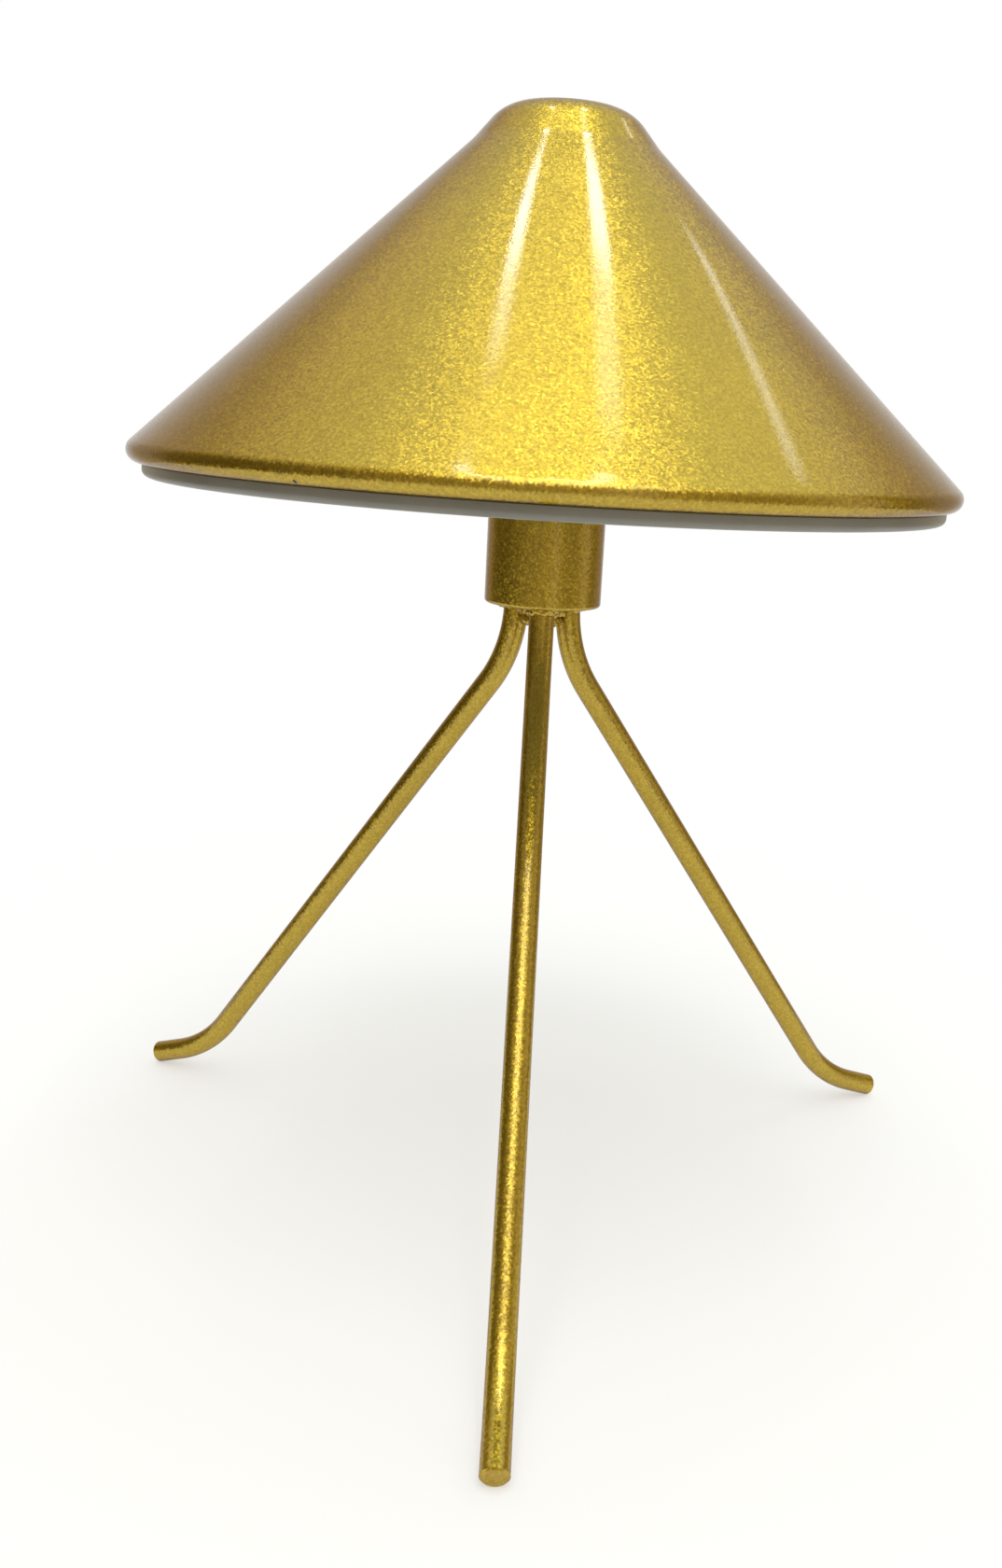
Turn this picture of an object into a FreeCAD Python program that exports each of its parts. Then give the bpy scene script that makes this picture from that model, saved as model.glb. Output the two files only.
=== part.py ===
import FreeCAD, Part
import math
import os
import Sketcher

# Tripod table lamp: a round conical shade on a short upright tube that holds
# the cell and the control board, welded on three bent rod legs.
# Frame: millimetres, +Z up, origin on the floor under the tube's axis.
# The front leg points to -Y; the charging port and the button face +Y.

DOCUMENT = FreeCAD.newDocument("tripod_table_lamp")

# ---------------------------------------------------------------- sizes

# Sizes that are set by themselves: name, millimetres or degrees, meaning.
DRIVING = (
    ("rod_dia", 6.0, "round steel rod of the legs"),
    ("leg_inset", 6.7, "hub's outside to rod axis under the hub"),
    ("leg_top_drop", 0.5, "straight rod under the hub before its bend"),
    ("leg_bend_radius", 34.0, "centreline radius of the upper bend"),
    ("leg_splay_angle", 36.95, "straight run of a leg, from vertical"),
    ("foot_bend_radius", 38.0, "centreline radius of the lower bend"),
    ("foot_length", 9.0, "straight rod past the lower bend"),
    ("foot_slope", 20.0, "foot, downwards from horizontal"),
    ("foot_end_chamfer", 0.4, "broken edge at the rod's outer end"),
    ("hub_height", 150.5, "floor to the hub's underside"),
    ("weld_size", 1.8, "leg length of the weld bead"),
    ("weld_toe", 0.3, "thickness of the bead at its lower end"),
    ("tube_wall", 1.0, "wall of the upright tube"),
    ("floor_plate", 2.0, "hub floor under the tube's lower end"),
    ("floor_spigot", 2.0, "hub floor inside the tube"),
    ("floor_round", 0.8, "rounded lower edge of the hub"),
    ("fit_gap", 0.05, "clearance of a fixed fit, on radius or face"),
    ("pad_thickness", 1.5, "foam pad at each end of the cell"),
    ("pad_inset", 0.45, "foam pad inside the cell's outline"),
    ("pad_slot", 1.8, "width of the slot for the cell's lead"),
    ("cell_radius", 9.25, "sleeved rechargeable cell"),
    ("cell_length", 65.0, "cell with its positive nub"),
    ("cell_nub_radius", 3.0, "positive nub"),
    ("cell_nub_height", 1.0, "positive nub"),
    ("cell_gap", 0.25, "cell to the front of the tube's bore"),
    ("board_gap", 0.55, "cell to the control board"),
    ("board_thickness", 0.8, "control board"),
    ("board_width", 19.2, "control board"),
    ("board_room", 5.9, "board's rear face to the tube's bore"),
    ("board_lift", 1.9, "hub floor to the board's lower edge"),
    ("board_head", 8.4, "board over the lamp leads"),
    ("rail_length", 34.0, "slotted rail at each edge of the board"),
    ("rail_width", 2.6, "rail, across the board"),
    ("rail_cheek", 1.0, "rail on each face of the board"),
    ("rail_bite", 0.8, "board edge held in the rail"),
    ("lead_dia", 1.2, "insulated lead"),
    ("lead_bend", 1.5, "bend radius of a lead"),
    ("lead_stand_off", 0.3, "lead to the face of the board"),
    ("cell_lead_side", 5.9, "negative lead, sideways from the axis"),
    ("cell_lead_tail", 3.4, "end of a cell lead past the board's edge"),
    ("port_lift", 1.4, "hub floor to the port's bezel"),
    ("port_width", 8.94, "shell of the charging socket"),
    ("port_depth", 3.16, "shell of the charging socket, upright"),
    ("port_shell", 0.35, "wall of the socket's shell"),
    ("port_floor", 1.2, "closed end of the socket"),
    ("port_sink", 0.5, "socket's mouth under the tube's outside"),
    ("port_tongue_width", 6.6, "contact tongue"),
    ("port_tongue_depth", 0.7, "contact tongue, upright"),
    ("port_tongue_length", 4.2, "contact tongue"),
    ("port_gap", 0.2, "socket to its bezel"),
    ("bezel_rim", 0.8, "width of the port's bezel"),
    ("bezel_inside", 1.2, "port's bezel inside the tube's bore"),
    ("bezel_proud", 0.3, "bezels over the tube's outside"),
    ("button_space", 3.2, "port's bezel to the button's bezel"),
    ("button_radius", 3.8, "button cap"),
    ("button_travel", 0.4, "press of the button"),
    ("button_proud", 0.8, "button cap over the tube's outside"),
    ("button_round", 0.5, "rounded edge of the button cap"),
    ("button_catch", 0.5, "flange past the bore it stops on"),
    ("button_flange", 0.7, "thickness of the cap's flange"),
    ("button_gap", 0.3, "button cap to its bezel"),
    ("stop_gap", 0.1, "button flange to its stop"),
    ("button_bezel_wall", 1.1, "wall of the button's bezel"),
    ("button_bezel_inside", 1.2, "button's bezel inside the bore"),
    ("switch_side", 6.0, "square case of the push switch"),
    ("plunger_spare", 0.4, "plunger left outside when pressed home"),
    ("plunger_radius", 1.65, "plunger of the push switch"),
    ("plunger_gap", 0.1, "plunger to its bore"),
    ("plunger_end_gap", 0.3, "pressed plunger to the end of its bore"),
    ("plunger_engaged", 0.9, "plunger inside the case at rest"),
    ("led_lead_rise", 7.4, "lamp leads to the ring board's underside"),
    ("led_lead_inset", 2.4, "ring board's inner edge to the leads"),
    ("lead_gap", 0.15, "lead to its neighbour's middle and to its hole"),
    ("grommet_wall", 1.0, "grommet between its bore and the tube's wall"),
    ("grommet_catch", 0.8, "grommet's flange past the hole"),
    ("grommet_flange", 0.8, "thickness of the grommet's flange"),
    ("carrier_lift", 20.85, "diffuser's underside to the carrier plate"),
    ("carrier_plate", 1.5, "aluminium carrier plate"),
    ("carrier_radius", 58.0, "carrier plate"),
    ("carrier_lip", 4.0, "height of the carrier's turned-up edge"),
    ("carrier_bore_gap", 0.3, "carrier to the tube"),
    ("collar_wall", 4.0, "clamp collar of the carrier"),
    ("collar_height", 9.0, "clamp collar over the plate's underside"),
    ("led_board", 1.6, "ring board of the light sources"),
    ("led_board_gap", 2.2, "ring board's inner edge to the tube"),
    ("led_board_outer", 50.0, "ring board, outer radius"),
    ("led_circle", 41.0, "circle of the light chips"),
    ("led_count", 18.0, "number of light chips"),
    ("led_length", 3.5, "light chip, radial"),
    ("led_width", 2.8, "light chip, tangential"),
    ("led_thickness", 0.7, "light chip"),
    ("carrier_screw_circle", 27.0, "circle of the carrier screws"),
    ("screw_count", 3.0, "screws round each circle"),
    ("screw_radius", 1.5, "M3 screw"),
    ("screw_head_radius", 2.75, "M3 pan head"),
    ("screw_head", 2.0, "M3 pan head"),
    ("carrier_screw_tail", 1.0, "screw end over the carrier plate"),
    ("plug_spigot", 8.0, "top plug inside the tube"),
    ("plug_flange", 2.0, "top plug over the tube's end"),
    ("plug_screw_length", 6.0, "radial screws of the top plug"),
    ("stud_radius", 3.0, "M6 stud"),
    ("stud_engaged", 7.0, "stud inside the top plug"),
    ("stud_flange_radius", 7.5, "welded foot of the stud"),
    ("stud_flange", 1.5, "welded foot of the stud"),
    ("washer_radius", 5.9, "M6 spring washer"),
    ("washer_thickness", 1.6, "M6 spring washer"),
    ("nut_across_flats", 10.0, "M6 nut"),
    ("nut_height", 5.0, "M6 nut"),
    ("shade_sheet", 0.9, "spun sheet of the shade"),
    ("crown_flat_radius", 9.0, "flat top of the shade"),
    ("crown_shoulder_radius", 11.0, "rounded shoulder under the flat"),
    ("neck_angle", 50.0, "steep neck, from horizontal"),
    ("neck_run", 4.75, "straight run of the neck"),
    ("neck_blend_radius", 22.0, "hollow blend from neck to cone"),
    ("cone_angle", 43.37, "cone, from horizontal"),
    ("rim_radius", 96.0, "widest point of the rolled rim"),
    ("rim_roll_radius", 2.75, "outside of the rolled edge"),
    ("rim_roll_end", 25.0, "end of the roll, over its inner side"),
    ("diffuser_drop", 3.05, "diffuser under the rolled rim"),
    ("diffuser_space", 1.5, "button's bezel to the diffuser's underside"),
    ("skirt_inset", 0.65, "diffuser's outside to the roll's centre"),
    ("diffuser_floor", 2.0, "thickness of the diffuser's floor"),
    ("diffuser_round", 1.5, "rounded lower edge of the diffuser"),
    ("diffuser_spigot", 1.8, "wall of the diffuser inside the rim"),
    ("diffuser_spigot_top", 3.2, "spigot over the centre of the roll"),
    ("snap_reach", 0.7, "snap bead over the end of the roll"),
    ("snap_height", 1.0, "height of the snap bead"),
    ("diffuser_seat_gap", 0.1, "diffuser to the rolled rim"),
    ("diffuser_bore_gap", 1.2, "diffuser's hole to the tube"),
    ("diffuser_collar_wall", 1.8, "collar round the diffuser's hole"),
    ("diffuser_collar", 4.8, "height of that collar"),
    ("cut_margin", 1.0, "length of a cut past the surface it leaves"),
)

# Parts soldered on the board's rear face: the size of each, its middle
# sideways from the lamp's axis, and its middle over the button's axis.
CHIP_SIZES = ("wide", "high", "thick", "side", "rise")
CHIPS = (
    ("charge_chip", (4.9, 6.0, 1.5, -6.0, 6.5)),
    ("drive_chip", (3.0, 3.0, 1.2, 5.6, 6.5)),
    ("choke", (5.0, 5.0, 2.6, 4.6, 11.6)),
    ("low_capacitor", (2.0, 1.25, 1.1, -6.4, -6.4)),
    ("high_capacitor", (2.0, 1.25, 1.1, 6.4, -5.0)),
    ("protection_chip", (3.0, 1.7, 1.2, -4.4, 16.0)),
)

# Sizes and places that follow from the ones above.
DERIVED = (
    ("rod_radius", "rod_dia / 2"),
    ("tube_bore", "cell_radius + (cell_gap + board_gap + board_thickness + board_room) / 2"),
    ("hub_radius", "tube_bore + tube_wall"),
    ("leg_circle_radius", "hub_radius - leg_inset"),
    ("leg_bend_centre_r", "leg_circle_radius + leg_bend_radius"),
    ("leg_bend_centre_z", "hub_height - leg_top_drop"),
    ("leg_straight_top_r", "leg_bend_centre_r - leg_bend_radius * cos(leg_splay_angle)"),
    ("leg_straight_top_z", "leg_bend_centre_z - leg_bend_radius * sin(leg_splay_angle)"),
    ("foot_end_z", "rod_radius * cos(foot_slope) - foot_end_chamfer * sin(foot_slope)"),
    ("foot_start_z", "foot_end_z + foot_length * sin(foot_slope)"),
    ("leg_straight_end_z",
     "foot_start_z + foot_bend_radius * (cos(foot_slope) - sin(leg_splay_angle))"),
    ("leg_straight_end_r",
     "leg_straight_top_r + (leg_straight_top_z - leg_straight_end_z) * tan(leg_splay_angle)"),
    ("foot_start_r",
     "leg_straight_end_r + foot_bend_radius * (cos(leg_splay_angle) - sin(foot_slope))"),
    ("foot_end_r", "foot_start_r + foot_length * cos(foot_slope)"),
    ("weld_top_radius", "rod_radius + weld_size"),
    ("weld_low_radius", "rod_radius + weld_toe"),
    ("weld_low_z", "hub_height - weld_size"),
    ("floor_edge_r", "hub_radius - floor_round"),
    ("floor_edge_z", "hub_height + floor_round"),
    ("tube_low", "hub_height + floor_plate"),
    ("floor_top", "tube_low + floor_spigot"),
    ("spigot_radius", "tube_bore - fit_gap"),
    ("cell_low", "floor_top + pad_thickness"),
    ("cell_shoulder", "cell_low + cell_length - cell_nub_height"),
    ("cell_top", "cell_low + cell_length"),
    ("cell_y", "cell_radius + cell_gap - tube_bore"),
    ("pad_radius", "cell_radius - pad_inset"),
    ("plug_low", "cell_top + pad_thickness"),
    ("tube_top", "plug_low + plug_spigot"),
    ("plug_top", "tube_top + plug_flange"),
    ("plug_bore", "stud_radius + fit_gap"),
    ("plug_screw_z", "plug_low + plug_spigot / 2"),
    ("board_front_y", "cell_y + cell_radius + board_gap"),
    ("board_rear_y", "board_front_y + board_thickness"),
    ("board_low", "floor_top + board_lift"),
    ("lead_radius", "lead_dia / 2"),
    ("cell_lead_y", "board_rear_y + lead_stand_off + lead_radius"),
    ("port_mouth_y", "hub_radius - port_sink"),
    ("port_length", "port_mouth_y - board_rear_y"),
    ("port_cavity", "port_length - port_floor"),
    ("port_inner_width", "port_width - 2 * port_shell"),
    ("port_inner_depth", "port_depth - 2 * port_shell"),
    ("bezel_bore_width", "port_width + 2 * port_gap"),
    ("bezel_bore_depth", "port_depth + 2 * port_gap"),
    ("bezel_width", "bezel_bore_width + 2 * bezel_rim"),
    ("bezel_depth", "bezel_bore_depth + 2 * bezel_rim"),
    ("port_z", "floor_top + port_lift + bezel_depth / 2"),
    ("port_hole_width", "bezel_width + 2 * fit_gap"),
    ("port_hole_depth", "bezel_depth + 2 * fit_gap"),
    ("bezel_rear_y", "tube_bore - bezel_inside"),
    ("bezel_length", "hub_radius + bezel_proud - bezel_rear_y"),
    ("button_bore", "button_radius + button_gap"),
    ("button_bezel_radius", "button_bore + button_bezel_wall"),
    ("button_z", "port_z + bezel_depth / 2 + button_space + button_bezel_radius"),
    ("button_flange_radius", "button_bore + button_catch"),
    ("button_hole", "button_bezel_radius + fit_gap"),
    ("button_bezel_y", "tube_bore - button_bezel_inside"),
    ("button_bezel_length", "hub_radius + bezel_proud - button_bezel_y"),
    ("button_y", "button_bezel_y - stop_gap - button_flange"),
    ("button_length", "hub_radius + button_proud - button_y"),
    ("button_shoulder", "button_length - button_round"),
    ("button_face_radius", "button_radius - button_round"),
    ("switch_front_y", "button_y - button_travel - plunger_spare"),
    ("switch_case", "switch_front_y - board_rear_y"),
    ("plunger_y", "switch_front_y - plunger_engaged"),
    ("plunger_length", "button_y - plunger_y"),
    ("plunger_bore", "plunger_engaged + button_travel + plunger_end_gap"),
    ("diffuser_low", "button_z + button_bezel_radius + diffuser_space"),
    ("carrier_z", "diffuser_low + carrier_lift"),
    ("led_board_z", "carrier_z - led_board"),
    ("led_z", "led_board_z - led_thickness"),
    ("led_board_inner", "hub_radius + led_board_gap"),
    ("led_lead_z", "led_board_z - led_lead_rise"),
    ("led_lead_half_pitch", "lead_radius + lead_gap"),
    ("led_lead_reach", "led_board_inner + led_lead_inset"),
    ("board_top", "led_lead_z + board_head"),
    ("board_length", "board_top - board_low"),
    ("grommet_bore_radius", "led_lead_half_pitch + lead_radius + lead_gap"),
    ("grommet_hole_radius", "grommet_bore_radius + grommet_wall"),
    ("grommet_flange_radius", "grommet_hole_radius + grommet_catch"),
    ("grommet_neck_radius", "grommet_hole_radius - fit_gap"),
    ("grommet_inner_face", "sqrt(tube_bore ^ 2 - grommet_flange_radius ^ 2)"),
    ("grommet_y", "grommet_inner_face - grommet_flange"),
    ("grommet_neck_length", "hub_radius - grommet_inner_face"),
    ("carrier_plate_top", "carrier_z + carrier_plate"),
    ("carrier_lip_top", "carrier_z + carrier_lip"),
    ("carrier_lip_inner", "carrier_radius - carrier_plate"),
    ("carrier_bore", "hub_radius + carrier_bore_gap"),
    ("collar_radius", "carrier_bore + collar_wall"),
    ("collar_top", "carrier_z + collar_height"),
    ("collar_screw_z", "carrier_plate_top + (collar_height - carrier_plate) / 2"),
    ("screw_hole", "screw_radius + fit_gap"),
    ("washer_bore", "stud_radius + fit_gap"),
    ("washer_top", "plug_top + washer_thickness"),
    ("nut_top", "washer_top + nut_height"),
    ("stud_low", "plug_top - stud_engaged"),
    ("rim_roll_r", "rim_radius - rim_roll_radius"),
    ("rim_bottom", "diffuser_low + diffuser_drop"),
    ("rim_roll_height", "rim_bottom + rim_roll_radius"),
    ("rim_inner_radius", "rim_roll_r - rim_roll_radius"),
    ("roll_inner_radius", "rim_roll_radius - shade_sheet"),
    ("crown_inner_radius", "crown_shoulder_radius - shade_sheet"),
    ("neck_inner_radius", "neck_blend_radius + shade_sheet"),
    ("shoulder_end_r", "crown_flat_radius + crown_shoulder_radius * sin(neck_angle)"),
    ("neck_end_r", "shoulder_end_r + neck_run * cos(neck_angle)"),
    ("cone_start_r", "neck_end_r + neck_blend_radius * (sin(neck_angle) - sin(cone_angle))"),
    ("cone_end_r", "rim_roll_r + rim_roll_radius * sin(cone_angle)"),
    ("cone_end_z", "rim_roll_height + rim_roll_radius * cos(cone_angle)"),
    ("cone_start_z", "cone_end_z + (cone_end_r - cone_start_r) * tan(cone_angle)"),
    ("neck_end_z", "cone_start_z + neck_blend_radius * (cos(cone_angle) - cos(neck_angle))"),
    ("shoulder_end_z", "neck_end_z + neck_run * sin(neck_angle)"),
    ("shade_top", "shoulder_end_z + crown_shoulder_radius * (1 - cos(neck_angle))"),
    ("crown_inner_z", "shade_top - shade_sheet"),
    ("stud_flange_low", "crown_inner_z - stud_flange"),
    ("shoulder_end_inner_r", "shoulder_end_r - shade_sheet * sin(neck_angle)"),
    ("shoulder_end_inner_z", "shoulder_end_z - shade_sheet * cos(neck_angle)"),
    ("neck_end_inner_r", "neck_end_r - shade_sheet * sin(neck_angle)"),
    ("neck_end_inner_z", "neck_end_z - shade_sheet * cos(neck_angle)"),
    ("cone_start_inner_r", "cone_start_r - shade_sheet * sin(cone_angle)"),
    ("cone_start_inner_z", "cone_start_z - shade_sheet * cos(cone_angle)"),
    ("cone_end_inner_r", "cone_end_r - shade_sheet * sin(cone_angle)"),
    ("cone_end_inner_z", "cone_end_z - shade_sheet * cos(cone_angle)"),
    ("roll_bottom_inner_z", "rim_bottom + shade_sheet"),
    ("roll_end_r", "rim_roll_r - rim_roll_radius * cos(rim_roll_end)"),
    ("roll_end_z", "rim_roll_height + rim_roll_radius * sin(rim_roll_end)"),
    ("roll_end_inner_r", "rim_roll_r - roll_inner_radius * cos(rim_roll_end)"),
    ("roll_end_inner_z", "rim_roll_height + roll_inner_radius * sin(rim_roll_end)"),
    ("diffuser_radius", "rim_roll_r - skirt_inset"),
    ("diffuser_edge_z", "diffuser_low + diffuser_round"),
    ("diffuser_edge_r", "diffuser_radius - diffuser_round"),
    ("diffuser_shoulder", "rim_bottom - diffuser_seat_gap"),
    ("diffuser_spigot_outer", "rim_inner_radius - diffuser_seat_gap"),
    ("diffuser_spigot_inner", "diffuser_spigot_outer - diffuser_spigot"),
    ("diffuser_floor_top", "diffuser_low + diffuser_floor"),
    ("diffuser_top", "rim_roll_height + diffuser_spigot_top"),
    ("snap_low", "diffuser_top - snap_height"),
    ("snap_mid", "diffuser_top - snap_height / 2"),
    ("snap_radius", "diffuser_spigot_outer + snap_reach"),
    ("diffuser_bore", "hub_radius + diffuser_bore_gap"),
    ("diffuser_collar_radius", "diffuser_bore + diffuser_collar_wall"),
    ("diffuser_collar_top", "diffuser_low + diffuser_collar"),
    ("seal_section", "diffuser_bore_gap / 2 - fit_gap"),
    ("seal_radius", "hub_radius + diffuser_bore_gap / 2"),
    ("seal_z", "diffuser_floor_top"),
)

SHEET = DOCUMENT.addObject("Spreadsheet::Sheet", "Sizes")


def fill_sheet():
    """Write the driving sizes as plain numbers and the rest as formulas."""
    cells = [(name, str(value), meaning) for name, value, meaning in DRIVING]
    for chip, values in CHIPS:
        for kind, value in zip(CHIP_SIZES, values):
            cells.append((chip + "_" + kind, str(value), "soldered part"))
    cells += [(name, "=" + formula, "worked out") for name, formula in DERIVED]
    for row, (name, content, meaning) in enumerate(cells, start=1):
        SHEET.set("A%d" % row, name)
        SHEET.set("B%d" % row, content)
        SHEET.set("C%d" % row, meaning)
        SHEET.setAlias("B%d" % row, name)
    DOCUMENT.recompute()


def size(name):
    """A size's present value; None stands for zero."""
    return 0.0 if name is None else float(SHEET.get(name))


def bind(thing, **bindings):
    """Tie properties of an object to formulas on the sheet's sizes."""
    for key, formula in bindings.items():
        thing.setExpression(key, formula)


# ------------------------------------------------------- drawing helpers

NODES = []
ACROSS_Y = FreeCAD.Rotation(FreeCAD.Vector(1, 0, 0), -90)


def keep(thing):
    """Count an object as a sub-part of the lamp."""
    NODES.append(thing)
    return thing


def new_body(label):
    """An empty body with its own label."""
    body = DOCUMENT.addObject("PartDesign::Body", label)
    body.Label = label
    return body


def place(thing, x="0", y="0", z="0", rotation=None):
    """Turn an object, then tie its place to the sheet."""
    if rotation is not None:
        thing.Placement = FreeCAD.Placement(FreeCAD.Vector(), rotation)
    for axis, formula in (("x", x), ("y", y), ("z", z)):
        if formula != "0":
            thing.setExpression(".Placement.Base." + axis, formula)


def new_sketch(body, name, plane):
    """A sketch on one of the body's own origin planes."""
    sketch = body.newObject("Sketcher::SketchObject", name)
    for feature in body.Origin.OriginFeatures:
        if feature.Role == plane:
            sketch.AttachmentSupport = (feature, "")
    sketch.MapMode = "FlatFace"
    return sketch


def fix_point(sketch, edge, end, x_name, y_name):
    """Hold one end of an edge at two sizes; None lies on the axis."""
    for name, kind, axis in ((x_name, "DistanceX", -2), (y_name, "DistanceY", -1)):
        if name is None:
            sketch.addConstraint(Sketcher.Constraint("PointOnObject", edge, end, axis))
            continue
        rule = Sketcher.Constraint(kind, -1, 1, edge, end, size(name))
        number = sketch.addConstraint(rule)
        sketch.setExpression("Constraints[%d]" % number, "Sizes." + name)


def fix_radius(sketch, edge, name):
    """Tie the radius of a circle or arc to a size."""
    number = sketch.addConstraint(Sketcher.Constraint("Radius", edge, size(name)))
    sketch.setExpression("Constraints[%d]" % number, "Sizes." + name)


def arc_between(first, last, radius, side):
    """The short arc from first to last; side 1 turns left, -1 turns right."""
    chord = last - first
    across = FreeCAD.Vector(-chord.y, chord.x, 0).normalize()
    half = chord.Length / 2
    rise = math.sqrt(max(radius * radius - half * half, 0.0))
    centre = (first + last) * 0.5 + across * (side * rise)
    start, end = (first, last) if side > 0 else (last, first)
    begin = math.atan2(start.y - centre.y, start.x - centre.x)
    finish = math.atan2(end.y - centre.y, end.x - centre.x)
    circle = Part.Circle(centre, FreeCAD.Vector(0, 0, 1), radius)
    return Part.ArcOfCircle(circle, begin, finish)


def draw_path(sketch, corners, arcs=None, closed=True):
    """Lines and arcs through corners given as pairs of size names.

    arcs maps a corner's number to (radius name, side) for the edge after it.
    """
    arcs = arcs or {}
    points = [FreeCAD.Vector(size(x), size(y), 0) for x, y in corners]
    count = len(points) if closed else len(points) - 1
    ends = []
    for number in range(count):
        first = points[number]
        last = points[(number + 1) % len(points)]
        if number in arcs:
            radius, side = arcs[number]
            edge = sketch.addGeometry(arc_between(first, last, size(radius), side))
            ends.append((edge, 1, 2) if side > 0 else (edge, 2, 1))
        else:
            edge = sketch.addGeometry(Part.LineSegment(first, last))
            ends.append((edge, 1, 2))
    for number, (edge, head, tail) in enumerate(ends):
        follower, following_head, _ = ends[(number + 1) % count]
        if closed or number + 1 < count:
            rule = Sketcher.Constraint("Coincident", edge, tail, follower, following_head)
            sketch.addConstraint(rule)
        fix_point(sketch, edge, head, *corners[number])
        if number in arcs:
            fix_radius(sketch, edge, arcs[number][0])
    if not closed:
        edge, _, tail = ends[-1]
        fix_point(sketch, edge, tail, *corners[-1])


def draw_circle(sketch, radius, x_name=None, y_name=None):
    """A circle tied to its radius and centre."""
    centre = FreeCAD.Vector(size(x_name), size(y_name), 0)
    circle = Part.Circle(centre, FreeCAD.Vector(0, 0, 1), size(radius))
    edge = sketch.addGeometry(circle)
    fix_radius(sketch, edge, radius)
    fix_point(sketch, edge, 3, x_name, y_name)


def draw_slot(sketch, width, depth, y_name=None):
    """A slot with half-round ends, centred on x; sizes are overall."""
    middle = size(y_name)
    radius = size(depth) / 2
    reach = size(width) / 2 - radius
    up = FreeCAD.Vector(0, 0, 1)
    right = Part.Circle(FreeCAD.Vector(reach, middle, 0), up, radius)
    left = Part.Circle(FreeCAD.Vector(-reach, middle, 0), up, radius)
    quarter = math.pi / 2
    sketch.addGeometry(Part.ArcOfCircle(right, -quarter, quarter))
    sketch.addGeometry(Part.ArcOfCircle(left, quarter, 3 * quarter))
    for side in (radius, -radius):
        head = FreeCAD.Vector(reach, middle + side, 0)
        tail = FreeCAD.Vector(-reach, middle + side, 0)
        sketch.addGeometry(Part.LineSegment(head, tail))
    for rule in (
        ("Tangent", 0, 2, 2, 1),
        ("Tangent", 2, 2, 1, 1),
        ("Tangent", 1, 2, 3, 2),
        ("Tangent", 3, 1, 0, 1),
        ("Horizontal", 2),
        ("Symmetric", 0, 3, 1, 3, -2),
    ):
        sketch.addConstraint(Sketcher.Constraint(*rule))
    number = sketch.addConstraint(Sketcher.Constraint("DistanceX", 1, 3, 0, 3, 2 * reach))
    sketch.setExpression("Constraints[%d]" % number, "Sizes.%s - Sizes.%s" % (width, depth))
    number = sketch.addConstraint(Sketcher.Constraint("Radius", 0, radius))
    sketch.setExpression("Constraints[%d]" % number, "Sizes.%s / 2" % depth)
    if y_name is None:
        sketch.addConstraint(Sketcher.Constraint("PointOnObject", 0, 3, -1))
    else:
        number = sketch.addConstraint(Sketcher.Constraint("DistanceY", -1, 1, 0, 3, middle))
        sketch.setExpression("Constraints[%d]" % number, "Sizes." + y_name)


def turned(label, corners, arcs=None):
    """A body turned about its own Z axis from an outline of (radius, height)."""
    body = new_body(label)
    sketch = new_sketch(body, label + "_outline", "XZ_Plane")
    draw_path(sketch, corners, arcs)
    turn = body.newObject("PartDesign::Revolution", label + "_turn")
    turn.Profile = sketch
    turn.ReferenceAxis = (sketch, ["V_Axis"])
    turn.Angle = 360
    body.Tip = turn
    return body


def cut_rearwards(body, name, draw, length):
    """Cut through the +Y side of a body, with the drawing on its XZ plane."""
    sketch = new_sketch(body, name + "_drawing", "XZ_Plane")
    draw(sketch)
    pocket = body.newObject("PartDesign::Pocket", name)
    pocket.Profile = sketch
    pocket.Type = "Length"
    bind(pocket, Length=length)
    before = body.Shape.Volume
    body.Tip = pocket
    DOCUMENT.recompute()
    if not pocket.Shape.Volume < before:
        raise RuntimeError(name + " cuts nothing")
    return pocket


def repeat_round(body, feature, name):
    """Repeat a cut round the body's Z axis, once for each screw."""
    pattern = body.newObject("PartDesign::PolarPattern", name)
    pattern.Originals = [feature]
    for axis in body.Origin.OriginFeatures:
        if axis.Role == "Z_Axis":
            pattern.Axis = (axis, [""])
    pattern.Angle = 360
    bind(pattern, Occurrences="Sizes.screw_count")
    body.Tip = pattern
    DOCUMENT.recompute()
    return pattern


def block(label, length, width, height, x, y, z):
    """A rectangular block, tied by formulas; x, y and z are its low corner."""
    box = DOCUMENT.addObject("Part::Box", label)
    bind(box, Length=length, Width=width, Height=height)
    place(box, x, y, z)
    return box


def rod(label, radius, height, x="0", y="0", z="0", rotation=None):
    """A plain cylinder from its base point along its own Z axis."""
    cylinder = DOCUMENT.addObject("Part::Cylinder", label)
    bind(cylinder, Radius=radius, Height=height)
    place(cylinder, x, y, z, rotation)
    return cylinder


def combine(kind, label, base, tool):
    """Cut or intersect two objects."""
    result = DOCUMENT.addObject("Part::" + kind, label)
    result.Base = base
    result.Tool = tool
    return result


def group(label, members):
    """Several separate solids in one sub-part."""
    compound = DOCUMENT.addObject("Part::Compound", label)
    compound.Links = members
    return compound


def shaped(label, shape, placement=None):
    """A sub-part whose shape is made directly from the sheet's sizes."""
    feature = DOCUMENT.addObject("Part::Feature", label)
    feature.Shape = shape
    feature.Placement = placement or FreeCAD.Placement()
    return feature


def round_axis(angle, x=0.0, z=0.0):
    """A place at distance x from the lamp's axis, turned about that axis."""
    turn = FreeCAD.Rotation(FreeCAD.Vector(0, 0, 1), angle)
    return FreeCAD.Placement(turn.multVec(FreeCAD.Vector(x, 0, z)), turn)


# ---------------------------------------------------------------- legs

LEGS = (("leg_front", -90), ("leg_rear_right", 30), ("leg_rear_left", 150))


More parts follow.
